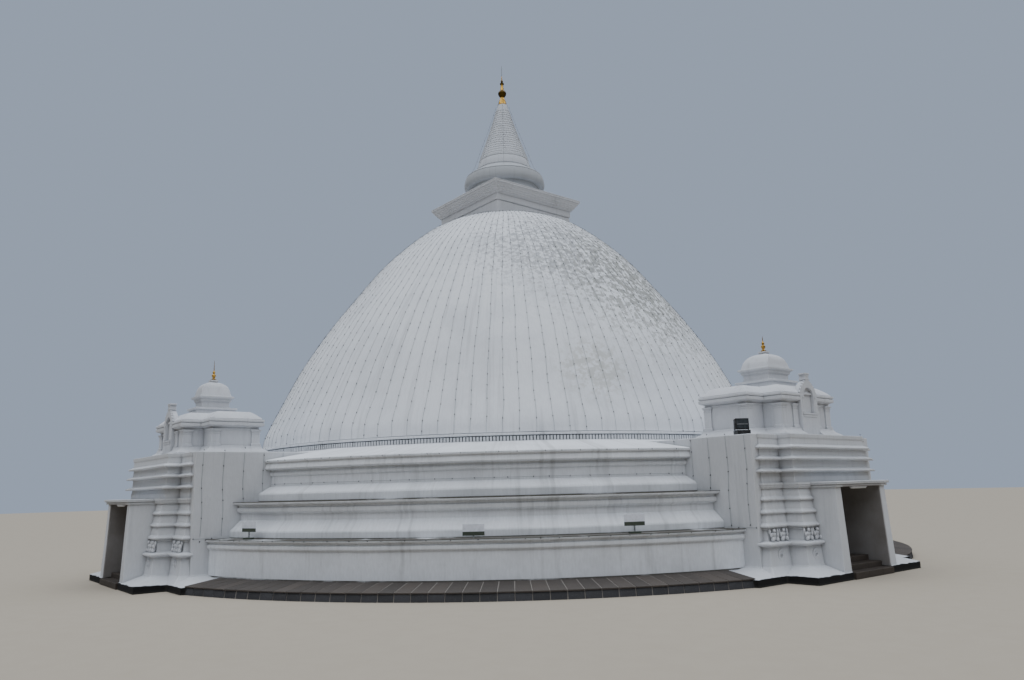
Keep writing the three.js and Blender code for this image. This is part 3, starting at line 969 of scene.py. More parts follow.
@dataclass
class BlockRing:
    """A thing repeated round the dome's axis, each copy with its own tone and a little uneven in size."""

    block: Shape
    finish: Finish
    count: int
    pitch: float
    first: float = 0.0
    uneven: float = 0.0005
    seed: int = 5

    def tree(self, values: dict[str, object]) -> Tree:
        """Makes the tree, once for the whole file, for values of these kinds.

        Args:
            values: The name and value of each input.

        Returns:
            The tree.
        """
        found = bpy.data.node_groups.get("ring_of_blocks")
        if found:
            return found
        tree, given = geometry_tree("ring_of_blocks", values)
        points, spin = round_axis(tree, given)
        loose = put(tree, "FunctionNodeRandomValue", {0: (-1, -1, -1), 1: (1, 1, 1), "Seed": given["Seed"]},
                    data_type="FLOAT_VECTOR")
        shift = put(tree, "ShaderNodeVectorMath", {0: loose, "Scale": given["Unevenness"]}, operation="SCALE")
        size = put(tree, "ShaderNodeVectorMath", {0: (1, 1, 1), 1: shift})
        block = put(tree, "GeometryNodeObjectInfo", {"Object": given["Block"]})
        placed = put(tree, "GeometryNodeInstanceOnPoints", {
            "Points": points, "Instance": block.outputs["Geometry"], "Rotation": spin, "Scale": size})
        tone = put(tree, "FunctionNodeRandomValue", {"Seed": given["Seed"]}, data_type="FLOAT")
        toned = put(tree, "GeometryNodeStoreNamedAttribute",
                    {"Geometry": placed, "Name": "tone", "Value": tone}, data_type="FLOAT", domain="INSTANCE")
        real = put(tree, "GeometryNodeRealizeInstances", {0: toned})
        done = put(tree, "GeometryNodeSetMaterial", {"Geometry": real, "Material": given["Finish"]})
        put(tree, "NodeGroupOutput", {0: done})
        return tree

    def mesh(self) -> bpy.types.Mesh:
        """Makes the copies.

        Returns:
            The copies as one mesh.
        """
        values = {"Block": hidden(self.block, [self.finish], "one_block"), "Count": self.count,
                  "First Angle": self.first, "Pitch": self.pitch, "Unevenness": self.uneven,
                  "Seed": self.seed, "Finish": self.finish.material()}
        return grown(self.tree(values), values)


@dataclass
class LampLines:
    """Cables drawn tight with small lamps along them, in copies round the dome's axis."""

    lines: Sequence[Sequence[Point]]
    count: int = 1
    first: float = 0.0
    wander: float = 0.0
    cable: float = 0.005
    lamp: float = 0.017
    spacing: float = 0.5
    seed: int = 11

    def tree(self, values: dict[str, object]) -> Tree:
        """Makes the tree, once for the whole file, for values of these kinds.

        Args:
            values: The name and value of each input.

        Returns:
            The tree.
        """
        found = bpy.data.node_groups.get("lamp_lines")
        if found:
            return found
        tree, given = geometry_tree("lamp_lines", values)
        points, spin = round_axis(tree, given)
        lines = put(tree, "GeometryNodeInstanceOnPoints",
                    {"Points": points, "Instance": given["Geometry"], "Rotation": spin})
        real = put(tree, "GeometryNodeRealizeInstances", {0: lines})
        # The cable wanders sideways round the axis, and never off the surface.
        place = put(tree, "GeometryNodeInputPosition")
        drift = put(tree, "ShaderNodeTexNoise", {"Vector": place, "Scale": 0.7, "Detail": 1.0})
        centred = put(tree, "ShaderNodeMath", {0: drift, 1: 0.5}, operation="SUBTRACT")
        amount = put(tree, "ShaderNodeMath", {0: centred, 1: given["Wander"]}, operation="MULTIPLY")
        sideways = put(tree, "ShaderNodeVectorMath", {0: place, 1: (0, 0, 1)}, operation="CROSS_PRODUCT")
        unit = put(tree, "ShaderNodeVectorMath", {0: sideways}, operation="NORMALIZE")
        shift = put(tree, "ShaderNodeVectorMath", {0: unit, "Scale": amount}, operation="SCALE")
        wandered = put(tree, "GeometryNodeSetPosition", {"Geometry": real, "Offset": shift})
        curve = put(tree, "GeometryNodeMeshToCurve", {0: wandered})
        section = put(tree, "GeometryNodeCurvePrimitiveCircle",
                      {"Resolution": 4, "Radius": given["Cable Radius"]})
        cable = put(tree, "GeometryNodeCurveToMesh",
                    {"Curve": curve, "Profile Curve": section, "Fill Caps": True})
        cables = put(tree, "GeometryNodeSetMaterial", {"Geometry": cable, "Material": given["Cable Finish"]})
        spaced = put(tree, "GeometryNodeCurveToPoints", {"Curve": curve, "Length": given["Spacing"]},
                     mode="LENGTH")
        # Each lamp sits up to a third of the spacing along the cable from its even place.
        along = put(tree, "FunctionNodeRandomValue", {2: -0.33, 3: 0.33, "Seed": given["Seed"]},
                    data_type="FLOAT")
        slid = put(tree, "ShaderNodeMath", {0: along, 1: given["Spacing"]}, operation="MULTIPLY")
        slide = put(tree, "ShaderNodeVectorMath", {0: spaced.outputs["Tangent"], "Scale": slid},
                    operation="SCALE")
        strewn = put(tree, "GeometryNodeSetPosition", {"Geometry": spaced, "Offset": slide})
        aimed = put(tree, "FunctionNodeRandomValue",
                    {0: (-0.5, -0.5, 0.0), 1: (0.5, 0.5, 6.283), "Seed": given["Seed"]},
                    data_type="FLOAT_VECTOR")
        lamp = put(tree, "GeometryNodeObjectInfo", {"Object": given["Lamp"]})
        lamps = put(tree, "GeometryNodeInstanceOnPoints",
                    {"Points": strewn, "Instance": lamp.outputs["Geometry"], "Rotation": aimed})
        solid = put(tree, "GeometryNodeRealizeInstances", {0: lamps})
        glass = put(tree, "GeometryNodeSetMaterial", {"Geometry": solid, "Material": given["Lamp Finish"]})
        both = put(tree, "GeometryNodeJoinGeometry", {0: cables})
        tree.links.new(glass.outputs[0], both.inputs[0])
        put(tree, "NodeGroupOutput", {0: both})
        return tree

    def build(self, name: str) -> None:
        """Makes the cables and lamps and shows them as one piece.

        Args:
            name: The piece's name.
        """
        bulb = Shape()
        bulb.ball((0, 0, 0), (self.lamp, self.lamp, self.lamp * 1.5), segments=5, rows=2)
        values = {"Count": self.count, "First Angle": self.first, "Pitch": 2 * math.pi / self.count,
                  "Wander": self.wander, "Cable Radius": self.cable, "Spacing": self.spacing,
                  "Lamp": hidden(bulb, [LAMP], "one_lamp"), "Seed": self.seed,
                  "Cable Finish": CABLE.material(), "Lamp Finish": LAMP.material()}
        shown(grown(self.tree(values), values, polyline(self.lines)), name)


@dataclass
class Kerb:
    """The dark stone kerb: sloped slabs over upright edge stones, on a bed that shows in the joints.

    It runs 6 cm into the aprons of the gatehouses.
    """

    side: Side
    inner: float = 14.06
    outer: float = 15.15
    edge_height: float = 0.24
    height: float = KERB_TOP
    clear: float = 3.99
    stones: int = 38
    joint: float = 0.016
    soft: float = 0.012

    @property
    def pitch(self) -> float:
        """The angle from one stone to the next."""
        first, last = quarter(self.clear, self.outer)
        return (last - first) / self.stones

    def half(self, radius: float) -> float:
        """Half the width of a stone at a radius."""
        return (radius * self.pitch - self.joint) / 2

    def slab(self) -> Shape:
        """One sloped slab with worn edges, its outer end over the edge stones.

        Returns:
            The slab, on the +X axis.
        """
        shape = Shape()
        rings = []
        edge, soft = self.edge_height, self.soft
        for radius, low, high in ((self.inner, self.height - 0.05, self.height - 0.004),
                                  (self.outer - 0.03, edge - 0.045, edge - 0.012),
                                  (self.outer - soft, edge - 0.045, edge - 0.022)):
            wide = self.half(radius)
            half = [(wide, low), (wide, high - soft), (wide - soft, high)]
            rings.append([(radius, -wide, low), *((radius, y, z) for y, z in half),
                          *((radius, -y, z) for y, z in half[:0:-1])])
        shape.body(rings)
        return shape

    def edge_stone(self) -> Shape:
        """One upright edge stone, leaning a little.

        Returns:
            The stone, on the +X axis.
        """
        shape = Shape()
        x, wide, soft = self.outer, self.half(self.outer), self.soft
        low = [(x - 0.2, -wide), (x - soft, -wide), (x, -wide + soft), (x, wide - soft), (x - soft, wide),
               (x - 0.2, wide)]
        top = self.edge_height - 0.06
        levels = ((0.0, 0.004), (top - 0.01, 0.034), (top, 0.042))
        shape.body([[(x - lean, y, z) for x, y in low] for z, lean in levels])
        return shape

    def bed(self) -> Shape:
        """The mortar bed under the stones.

        Returns:
            The bed, on its side.
        """
        shape = Shape()
        r, edge = self.outer, self.edge_height
        shape.arc([(self.inner, 0.0), (r - 0.014, 0.0), (r - 0.052, edge - 0.055), (r - 0.058, edge - 0.02),
                   (self.inner, self.height - 0.01)], self.clear, 60)
        shape.hand_smoothed(0.0, self.side.turn)
        return shape

    def build(self) -> None:
        """Makes the kerb between this side's gatehouse and the next."""
        node = f"kerb_{self.side.word}"
        shown(meshed(self.bed(), [MORTAR], 30), f"{node}_bed", [node])
        first = self.side.turn + quarter(self.clear, self.outer)[0] + self.pitch / 2
        for name, shape, finish, seed in (("slabs", self.slab(), KERB_SLAB, 3),
                                          ("edge", self.edge_stone(), KERB_EDGE, 9)):
            ring = BlockRing(shape, finish, self.stones, self.pitch, first, seed=seed + self.side.value)
            shown(ring.mesh(), f"{node}_{name}", [node])


@dataclass
class Terraces:
    """The three ring terraces: mouldings in four parts between the gatehouses, round a closed middle."""

    clear: float = FLANK_HALF - 0.05
    inner: float = 10.9
    core: float = 10.95
    lower_radius: float = 14.08
    middle_radius: float = 13.22
    upper_radius: float = 12.35
    dome_foot: float = 10.4
    dome_fall: float = 0.099
    soft: float = 0.012
    parts: int = 110

    def lower(self) -> Outline:
        """A plain wall with a cornice of two bands.

        Returns:
            The outline as (radius, height).
        """
        return [(self.lower_radius + out, z) for out, z in (
            (0, 0.0), (0, 1.07), (0.05, 1.12), (0.065, 1.14), (0.065, 1.225), (0.015, 1.24), (0.015, 1.292),
            (0.1, 1.31), (0.12, 1.33), (0.12, LOWER_LEDGE))]

    def middle(self) -> Outline:
        """A splayed foot, a low wall and a cornice.

        Returns:
            The outline as (radius, height).
        """
        return [(self.middle_radius + out, z) for out, z in (
            (0.3, 1.3), (0.3, 1.56), (0.28, 1.6), (0.04, 1.84), (0, 1.87), (0, 2.06), (0.1, 2.1),
            (0.12, 2.12), (0.12, 2.22), (0.07, 2.235), (0.07, 2.3), (0.22, 2.325), (0.25, 2.34),
            (0.25, MIDDLE_LEDGE))]

    def upper(self) -> Outline:
        """A splayed foot, a recessed wall, a deep cornice and a sloped top with a thin lip.

        Returns:
            The outline as (radius, height).
        """
        return [*((self.upper_radius + out, z) for out, z in (
            (0.37, 2.3), (0.37, 2.6), (0.34, 2.65), (0.07, 2.81), (0, 2.83), (0, 3.13), (0.05, 3.15),
            (0.06, 3.17), (0.06, 3.24), (0.02, 3.29), (0.02, 3.32), (0.17, 3.335), (0.21, 3.36), (0.21, 3.38),
            (0.155, 3.53), (0.22, 3.555), (0.22, 3.6), (0.19, 3.632))), (self.dome_foot, 4.018)]

    def build(self) -> None:
        """Makes the three terraces; the upper one slopes up to the dome over its closed middle."""
        for name, outline in (("lower", self.lower()), ("middle", self.middle()), ("upper", self.upper())):
            eased = softened(outline, self.soft)
            foot, top = eased[0][1], eased[-1][1]
            lid = top - self.soft
            if name == "upper":
                section = [*eased, (self.dome_foot, foot)]
                cover = [(self.core, foot), (self.core, lid - self.dome_fall), (self.dome_foot, lid)]
            else:
                section = [*eased, (self.inner, top), (self.inner, foot)]
                cover = [(self.core, foot), (self.core, lid)]
            shape = Shape()
            for side in Side:
                part = Shape()
                part.arc(section, self.clear, self.parts)
                part.hand_smoothed(0.007, side.turn)
                shape.merge(part)
            shape.turned(cover, 144)
            plastered(shape, f"{name}_terrace", TERRACE_WASH, 0.0)


@dataclass
class DentilCourse:
    """Small blocks before a recess painted dark as shade, under a rail at the foot of the dome."""

    radius: float = 10.45
    rail_radius: float = 10.488
    depth: float = 0.07
    bottom: float = 4.0
    block_top: float = 4.152
    block_half: float = 0.034
    rail_bottom: float = 4.18
    top: float = DOME_FOOT
    count: int = 642
    segments: int = 288

    def build(self) -> None:
        """Makes the rail with its recessed band, painted dark as shade, and the blocks."""
        rail = Shape()
        back, r, z = self.radius - self.depth, self.rail_radius, self.rail_bottom
        # The recessed band takes the dark wash, as painted shade.
        rail.turned([(back, self.bottom - 0.02), (back, z + 0.005)], self.segments, finish=1)
        rail.turned([(r - 0.12, z - 0.002), (r - 0.01, z), (r, z + 0.01), (r, self.top - 0.012),
                     (r - 0.012, self.top), (10.2, self.top + 0.004)], self.segments)
        rail.hand_smoothed(0.003)
        shown(meshed(rail, [TERRACE_WASH, SHADE_PAINTED_RECESS_WASH], 32), "dentil_rail", ["dentil_course"])
        block = Shape()
        half = self.block_half
        block.box((back - 0.02, -half, self.bottom), (self.radius, half, self.block_top))
        ring = BlockRing(block, TERRACE_WASH, self.count, 2 * math.pi / self.count)
        shown(ring.mesh(), "dentils", ["dentil_course"])


def curved(points: Sequence[Flat], parts: int) -> Outline:
    """Draws a smooth curve through points.

    Args:
        points: Points of the curve.
        parts: Steps between one point and the next.

    Returns:
        The curve's points.
    """
    line = [Vector(p) for p in points]
    line = [line[0] * 2 - line[1], *line, line[-1] * 2 - line[-2]]
    made = []
    for a, b, c, d in zip(line, line[1:], line[2:], line[3:]):
        for k in range(parts):
            t = k / parts
            made.append(0.5 * (2 * b + (c - a) * t + (2 * a - 5 * b + 4 * c - d) * t ** 2
                               + (3 * b - a - 3 * c + d) * t ** 3))
    made.append(line[-2])
    return [(p.x, p.y) for p in made]


@dataclass
class Dome:
    """The dome: plaster on brick, nearly straight low down and rounder towards the crown."""

    inner: float = 10.22
    side: tuple[Flat, ...] = ((10.27, 4.29), (10.18, 4.8), (9.71, 5.8), (8.9, 7.4), (7.9, 9.0), (6.73, 10.56),
                              (5.43, 12.15), (3.6, 13.72), (1.9, 14.48))
    segments: int = 288
    rows: int = 10

    def meridian(self) -> Outline:
        """The dome's side as (radius, height), from the foot to under the chamber."""
        return curved(self.side, self.rows)

    def build(self) -> None:
        """Makes the dome with a fine groove at its foot."""
        shape = Shape()
        foot = [(self.inner, DOME_FOOT - 0.02), (self.inner, DOME_FOOT + 0.02)]
        shape.turned([*foot, *self.meridian()], self.segments)
        plastered(shape, "dome", DOME_WASH, 0.012, 60)


@dataclass
class LampStrings:
    """The strings of small lamps: down the dome and spire, round the terraces and on the flanks."""

    dome: Dome
    count: int = 126
    off: float = 0.018
    spire_turn: float = 51.2
    spire_line: tuple[Flat, ...] = ((0.3, 20.3), (0.66, 19.2), (1.0, 18.3), (1.36, 17.3), (1.7, 16.72))
    drops: tuple[float, ...] = (11.6, 12.2, 12.8, 13.4, 14.0)

    def build(self) -> None:
        """Makes the strings, a finger's breadth off the plaster."""
        line = [(r + self.off * 0.9, 0.0, z + self.off * 0.4) for r, z in self.dome.meridian()[::3]]
        LampLines([line], self.count, wander=0.16, cable=0.0035).build("dome_lamp_strings")
        levels = ((Terraces.upper_radius + 0.27, 3.59), (Terraces.upper_radius + 0.03, 2.9), (14.215, 1.36))
        LampLines([self.level(*level) for level in levels], 4, cable=0.004, lamp=0.015,
                  spacing=0.55).build("terrace_lamp_strings")
        LampLines(self.flank(), 4, cable=0.004, lamp=0.016, spacing=0.45).build("flank_lamp_strings")
        LampLines([[(r, 0.0, z) for r, z in self.spire_line]], 8, first=math.radians(self.spire_turn),
                  lamp=0.014, spacing=0.4).build("spire_lamp_strings")

    def level(self, radius: float, height: float, parts: int = 60) -> list[Point]:
        """A level line round one quarter of a terrace.

        Args:
            radius: Its radius.
            height: Its height.
            parts: Into how many parts it is divided.

        Returns:
            The line's points.
        """
        first, last = quarter(FLANK_HALF + 0.05, radius)
        turns = [first + (last - first) * i / parts for i in range(parts + 1)]
        return [(radius * math.cos(a), radius * math.sin(a), height) for a in turns]

    def flank(self) -> list[list[Point]]:
        """The lines on both faces of one gatehouse's flank.

        Returns:
            The points of each line.
        """
        lines = []
        for y in (-FLANK_HALF - self.off, FLANK_HALF + self.off):
            lines += [[(x, y, FLANK_TOP - 0.02), (x + 0.03, y, 3.0), (x - 0.02, y, 2.2), (x, y, 1.45)]
                      for x in self.drops]
            lines.append([(13.75, y, 1.4), (14.2, y, 1.405)])
        return lines


@dataclass
class Crown:
    """What stands on the dome: chamber, cornice, drum, rings, spire, pinnacle and rod."""

    chamber_half: float = 2.11
    chamber_foot: float = 13.86
    shadow_line: float = 14.64
    chamber_top: float = 14.9
    cornice_half: float = 2.44
    cornice_top: float = 15.4
    drum_radius: float = 1.6
    belt: tuple[Flat, ...] = ((1.66, 16.1), (1.76, 16.12), (1.83, 16.2), (1.85, 16.3), (1.84, 16.42),
                              (1.81, 16.54), (1.785, 16.59))
    crest: tuple[Flat, ...] = ((1.76, 16.6), (1.76, 16.615), (1.775, 16.62), (1.76, 16.655), (1.69, 16.71),
                               (1.56, 16.79), (1.42, 16.88), (1.3, 16.97), (1.22, 17.03))
    collar: tuple[Flat, ...] = ((1.15, 17.02), (1.235, 17.03), (1.245, 17.06), (1.24, 17.12), (1.215, 17.25),
                                (1.17, 17.4), (1.14, 17.45), (1.14, 17.465), (1.155, 17.47), (1.155, 17.52),
                                (1.13, 17.55), (1.05, 17.57))
    spire_side: tuple[Flat, ...] = ((1.13, 17.56), (0.76, 18.6), (0.48, 19.48), (0.225, 20.38))
    spire_rings: int = 19
    ringed_share: float = 0.88
    bead: float = 0.03
    pinnacle_foot: float = 20.38
    pinnacle_top: float = 21.89
    rod_radius: float = 0.0119
    rod_top: float = 22.45

    def build(self) -> None:
        """Makes all of it from the chamber up."""
        self.chamber()
        self.cornice()
        self.drum()
        self.spire()
        self.pinnacle()

    def chamber(self) -> None:
        """The square chamber with its thin shadow line."""
        h, line = self.chamber_half, self.shadow_line
        outline = [(-0.03, self.chamber_foot), (-0.03, line - 0.05), (-0.06, line - 0.04),
                   (-0.06, line - 0.01), (-0.01, line), (0, line + 0.02), (0, self.chamber_top)]
        shape = Shape()
        shape.moulded(Plan.block(-h, h, h).dressed(0.03, 0.3), softened(outline, 0.008))
        plastered(shape, "chamber", LIMEWASH, 0.008)

    def cornice(self) -> None:
        """The cornice slants out over the chamber in fine steps, to an upright band with a thin lip."""
        h = self.cornice_half
        outline = [(reach, self.chamber_top + rise) for reach, rise in (
            (-0.3, 0), (-0.3, 0.03), (-0.25, 0.05), (-0.25, 0.08), (-0.2, 0.11), (-0.2, 0.14), (-0.15, 0.18),
            (-0.15, 0.21), (-0.1, 0.25), (-0.1, 0.28), (-0.04, 0.35), (-0.04, 0.38), (0, 0.39), (0, 0.44),
            (-0.015, 0.445), (-0.015, 0.455), (0, 0.46), (0, 0.49), (-0.02, 0.5))]
        shape = Shape()
        shape.moulded(Plan.block(-h, h, h).dressed(0.02, 0.3), softened(outline, 0.006))
        plastered(shape, "chamber_cornice", LIMEWASH, 0.008)

    def drum(self) -> None:
        """The drum, the big rounded ring on it and the smaller ring under the spire."""
        r, z, top = self.drum_radius, self.cornice_top, self.belt[0][1]
        neck = [(r + 0.05, z - 0.01), (r + 0.05, z + 0.06), (r - 0.01, z + 0.09), (r - 0.01, top)]
        ring = [(r - 0.02, top - 0.002), *curved(self.belt, 3), *self.crest]
        # The drum and the big ring are painted darker than the crown, as shade.
        for node, outline, segments, wash, rough, smooth in (
                ("drum", neck, 96, SHADE_PAINTED_DRUM_WASH, 0.006, 30), ("drum_ring", ring, 128, SHADE_PAINTED_DRUM_WASH, 0.006, 18),
                ("spire_ring", self.collar, 96, CROWN_WASH, 0.005, 18)):
            shape = Shape()
            shape.turned(outline, segments)
            plastered(shape, node, wash, rough, smooth)

    def ring_stack(self, values: dict[str, object]) -> Tree:
        """Makes the tree that sets level rings at even steps up a side line of (radius, 0, height).

        Args:
            values: The name and value of each input.

        Returns:
            The tree.
        """
        tree, given = geometry_tree("stack_of_rings", values)
        side = put(tree, "GeometryNodeMeshToCurve", {0: given["Geometry"]})
        points = put(tree, "GeometryNodeCurveToPoints", {"Curve": side, "Count": given["Count"]},
                     mode="COUNT")
        place = put(tree, "GeometryNodeInputPosition")
        apart = put(tree, "ShaderNodeSeparateXYZ", {0: place})
        wide = put(tree, "ShaderNodeCombineXYZ", {"X": apart, "Y": apart, "Z": 1.0})
        circle = put(tree, "GeometryNodeCurvePrimitiveCircle", {"Resolution": 72, "Radius": 1.0})
        placed = put(tree, "GeometryNodeInstanceOnPoints",
                     {"Points": points, "Instance": circle, "Scale": wide})
        back = put(tree, "ShaderNodeVectorMath", {0: place, 1: (-1, 0, 0)}, operation="MULTIPLY")
        centred = put(tree, "GeometryNodeTranslateInstances",
                      {"Instances": placed, "Translation": back, "Local Space": False})
        real = put(tree, "GeometryNodeRealizeInstances", {0: centred})
        bead = put(tree, "GeometryNodeCurvePrimitiveCircle", {"Resolution": 8, "Radius": given["Bead"]})
        rings = put(tree, "GeometryNodeCurveToMesh", {"Curve": real, "Profile Curve": bead})
        done = put(tree, "GeometryNodeSetMaterial", {"Geometry": rings, "Material": given["Finish"]})
        put(tree, "NodeGroupOutput", {0: done})
        return tree

    def spire(self) -> None:
        """The spire's core and the rings that stand out from it."""
        core = Shape()
        side = curved(self.spire_side, 10)
        core.turned(side, 72)
        plastered(core, "spire", CROWN_WASH, 0.004, 40)
        foot, tip = side[0][1] + 0.06, side[-1][1]
        ringed = [(r - 0.01, 0.0, z) for r, z in side if foot <= z <= foot + (tip - foot) * self.ringed_share]
        values = {"Count": self.spire_rings, "Bead": self.bead, "Finish": CROWN_WASH.material()}
        rings = grown(self.ring_stack(values), values, polyline([ringed]))
        rings.polygons.foreach_set("use_smooth", [True] * len(rings.polygons))
        shown(rings, "spire_rings", ["spire"])

    def pinnacle(self) -> None:
        """The gilt bell and stem with their dark brass ball and discs, and the lightning rod."""
        bell = ((0.2, 0.0), (0.205, 0.03), (0.195, 0.08), (0.17, 0.19), (0.125, 0.32), (0.095, 0.4))
        ball = ((0.09, 0.4), (0.1, 0.43), (0.155, 0.5), (0.195, 0.61), (0.165, 0.7), (0.105, 0.77))
        stem = ((0.1, 0.77), (0.085, 0.81), (0.07, 0.92), (0.055, 1.03), (0.055, 1.07))
        discs = ((0.055, 1.068), (0.095, 1.09), (0.095, 1.14), (0.045, 1.17), (0.048, 1.2), (0.058, 1.24),
                 (0.045, 1.28), (0.03, 1.31))
        tip = ((0.03, 1.309), (0.02, 1.42), (0.012, self.pinnacle_top - self.pinnacle_foot))
        shape = Shape()
        for finish, outline in ((0, curved(bell, 3)), (1, curved(ball, 3)), (0, stem), (1, discs), (0, tip)):
            shape.turned([(r, self.pinnacle_foot + z) for r, z in outline], 40, finish=finish)
        shown(meshed(shape, [GILT, OLD_BRASS], 40), "pinnacle_gilt", ["pinnacle"])
        rod = Shape()
        r, top = self.rod_radius, self.rod_top
        rod.turned([(r, self.pinnacle_top), (r, top - 0.08), (0.002, top)], 12)
        shown(meshed(rod, [GALVANISED], 40), "lightning_rod_steel", ["lightning_rod"])


@dataclass
class GatePart:
    """What the two parts of a gatehouse share: their side, and how a piece is placed."""

    side: Side

    def lifted(self, height: float) -> float:
        """The height where a point of the drawing comes to lie."""
        return height

    def done(self, shape: Shape, name: str, node: str, finish: Finish = LIMEWASH, *,
             slot: Slot = Slot.LIMEWASH, rough: float = 0.006, smooth: float = 12) -> None:
        """Turns a piece to this side and shows it.

        Args:
            shape: The piece, drawn facing +X.
            name: The piece's name without its side.
            node: The node that it stands for, without its side.
            finish: Its finish.
            slot: A material slot; not used.
            rough: How uneven it is by hand, in metres.
            smooth: The angle up to which its edges are smooth, in degrees.
        """
        shape.points = [(x, y, self.lifted(z)) for x, y, z in shape.points]
        shape.hand_smoothed(rough, self.side.turn)
        word = self.side.word
        shown(meshed(shape, [finish], smooth), f"{name}_{word}", [f"{node}_{word}"])


@dataclass
class Gatehouse(GatePart):
    """A gatehouse up to its wall top: walls, moulded front, figures, porch and steps."""

    flank_inner: float = 10.93
    flank_outer: float = 14.22
    front_back: float = 14.17
    return_outer: float = 14.25
    return_half: float = 2.85
    upper_outer: float = 14.66
    upper_half: float = 1.95
    lower_outer: float = 14.74
    lower_half: float = 1.92
    batter: float = 0.26
    lower_top: float = 2.56
    apron_side: float = 0.9
    apron_front: float = 0.5
    apron_body: float = 0.6
    apron_top: float = 0.46
    apron_back: float = 2.0
    shelf: float = 1.2
    roundel_height: float = 0.68
    porch_outer: float = 15.48
    porch_half: float = 1.35
    porch_batter: float = 0.09
    passage_inner: float = 12.0
    step_edges: tuple[float, ...] = (15.65, 15.32, 14.95)
    step_tops: tuple[float, ...] = (0.18, 0.33, 0.48)

    def build(self) -> None:
        """Makes the lower gatehouse."""
        self.walls()
        self.front()
        self.figures()
        self.porch()
        self.steps()
        self.tube()

    def lean(self, height: float) -> float:
        """How far the lower walls lean out at a height."""
        return self.batter * max(0.0, (PASSAGE_TOP - height) / (PASSAGE_TOP - self.apron_top))

    def walls(self) -> None:
        """The main walls round the passage, and the apron at their foot."""
        shape = Shape()
        x0, x1, inner, back = self.flank_inner, self.flank_outer, self.passage_inner, self.apron_back
        h, p = FLANK_HALF, PASSAGE_HALF
        slot = Plan.mirrored((x0, -h), (x1, -h), (x1, -p), (inner, -p))
        shape.moulded(slot.dressed(0.02, 0.4), [(0, z) for z in (0, 0.6, 1.2, 1.8, PASSAGE_TOP)])
        over = Plan.block(x0, x1, h).dressed(0.02, 0.4)
        shape.moulded(over, [(0, PASSAGE_TOP), (0, 3.0), (0, 3.55), (0, FLANK_TOP - 0.015),
                             (-0.015, FLANK_TOP)])
        self.pair(shape, (x0, x1), (back, h), self.apron(self.apron_side, 0.0),
                  share=self.apron_front / self.apron_side, step=0.3)
        self.done(shape, "gate_walls_plaster", "gate_walls", GATE_WASH)

    def apron(self, reach: float, wall: float) -> Outline:
        """The apron's outline: an upright foot and a slope up to a wall that stands out by so much.

        Args:
            reach: How far its foot stands out from the wall.
            wall: How far the wall's own foot stands out.

        Returns:
            The outline as (reach, height).
        """
        out = reach + wall
        return [(out, 0.0), (out, 0.19), (out - 0.02, 0.2), (wall + 0.03, 0.38), (wall + 0.004, 0.42),
                (wall, self.apron_top)]

    def front(self) -> None:
        """The moulded front, with the same mouldings round the return and the body."""
        low = [(0, 0.47), (0, 0.9), (0.14, 0.945), (0.15, 0.96), (0.15, 1.0), (0, 1.035), (-0.055, 1.045),
               (-0.055, 1.335), (0, 1.345), *filleted(1.44, 0.09), *filleted(1.79, 0.08),
               *filleted(2.13, 0.08), (0, PASSAGE_TOP)]
        low = [(reach + self.lean(height), height) for reach, height in low]
        cap = [(0.05, PASSAGE_TOP), (0.06, 2.44), (0.08, 2.45), (0.08, 2.49), (0.1, 2.5),
               (0.1, self.lower_top)]
        high = [(0.03, self.lower_top), (0.03, 2.7), *filleted(2.88, 0.19), *filleted(3.21, 0.18),
                *filleted(3.52, 0.14), (0, 3.74), (0.025, 3.78), (0.03, FLANK_TOP - 0.01), (0.02, FLANK_TOP)]
        shape = Shape()
        turned_in = self.flank_outer + self.apron_front - self.return_outer - self.batter
        for half, outer, reach in ((self.lower_half, self.lower_outer, self.apron_body),
                                   (self.return_half, self.return_outer, turned_in)):
            outline = softened([*self.apron(reach, self.batter), *low], 0.008)
            self.pair(shape, (self.front_back, outer), (PASSAGE_HALF, half), outline)
        rear = (self.return_half, self.return_outer)
        lower = Plan.stepped([rear, (self.lower_half, self.lower_outer)], self.front_back)
        shape.moulded(lower.dressed(0.02, 0.25), softened(cap, 0.006))
        upper = Plan.stepped([rear, (self.upper_half, self.upper_outer)], self.front_back)
        shape.moulded(upper.dressed(0.02, 0.25), softened(high, 0.008))
        self.done(shape, "gate_front_plaster", "gate_front", GATE_WASH)

    def pair(self, shape: Shape, along: Flat, across: Flat, outline: Outline, *, share: float = 1,
             arris: float = 0.02, step: float = 0.25) -> None:
        """Adds the two halves of a wall, either side of the passage.

        Args:
            shape: The shape that gets them.
            along: x of their back and of their front.
            across: How far off the middle their inner and outer faces stand.
            outline: The outline of their front and outer faces.
            share: How far the outline stands out at the front, for each metre at the side.
            arris: How far back from a corner the rounding starts.
            step: The longest side that stays whole.
        """
        (back, front), (inner, outer) = along, across
        for sign in (-1, 1):
            corners = [Corner(x, sign * y, share * out_x, sign * out_y) for x, y, out_x, out_y in (
                (back, inner, 0, 0), (front, inner, 1, 0), (front, outer, 1, 1), (back, outer, 0, 1))]
            plan = Plan(tuple(corners[::sign]))
            shape.moulded(plan.dressed(arris, step), outline)

    def figures(self) -> None:
        """The small crouching figures over the shelf, and the round reliefs below it."""
        shape = Shape()
        rows = ((self.return_outer, (2.77, 2.33), 2.6), (self.lower_outer, (1.93, 1.5), 1.74))
        for face, places, _ in rows:
            x = face + self.lean(self.shelf) - 0.06
            for y in places:
                self.figure(shape, x, y)
                self.figure(shape, x, -y)
        for face, _, y in rows:
            for sign in (-1, 1):
                self.roundel(shape, face + self.lean(self.roundel_height), sign * y)
        self.done(shape, "gate_front_figures", "gate_front", rough=0.0, smooth=50)

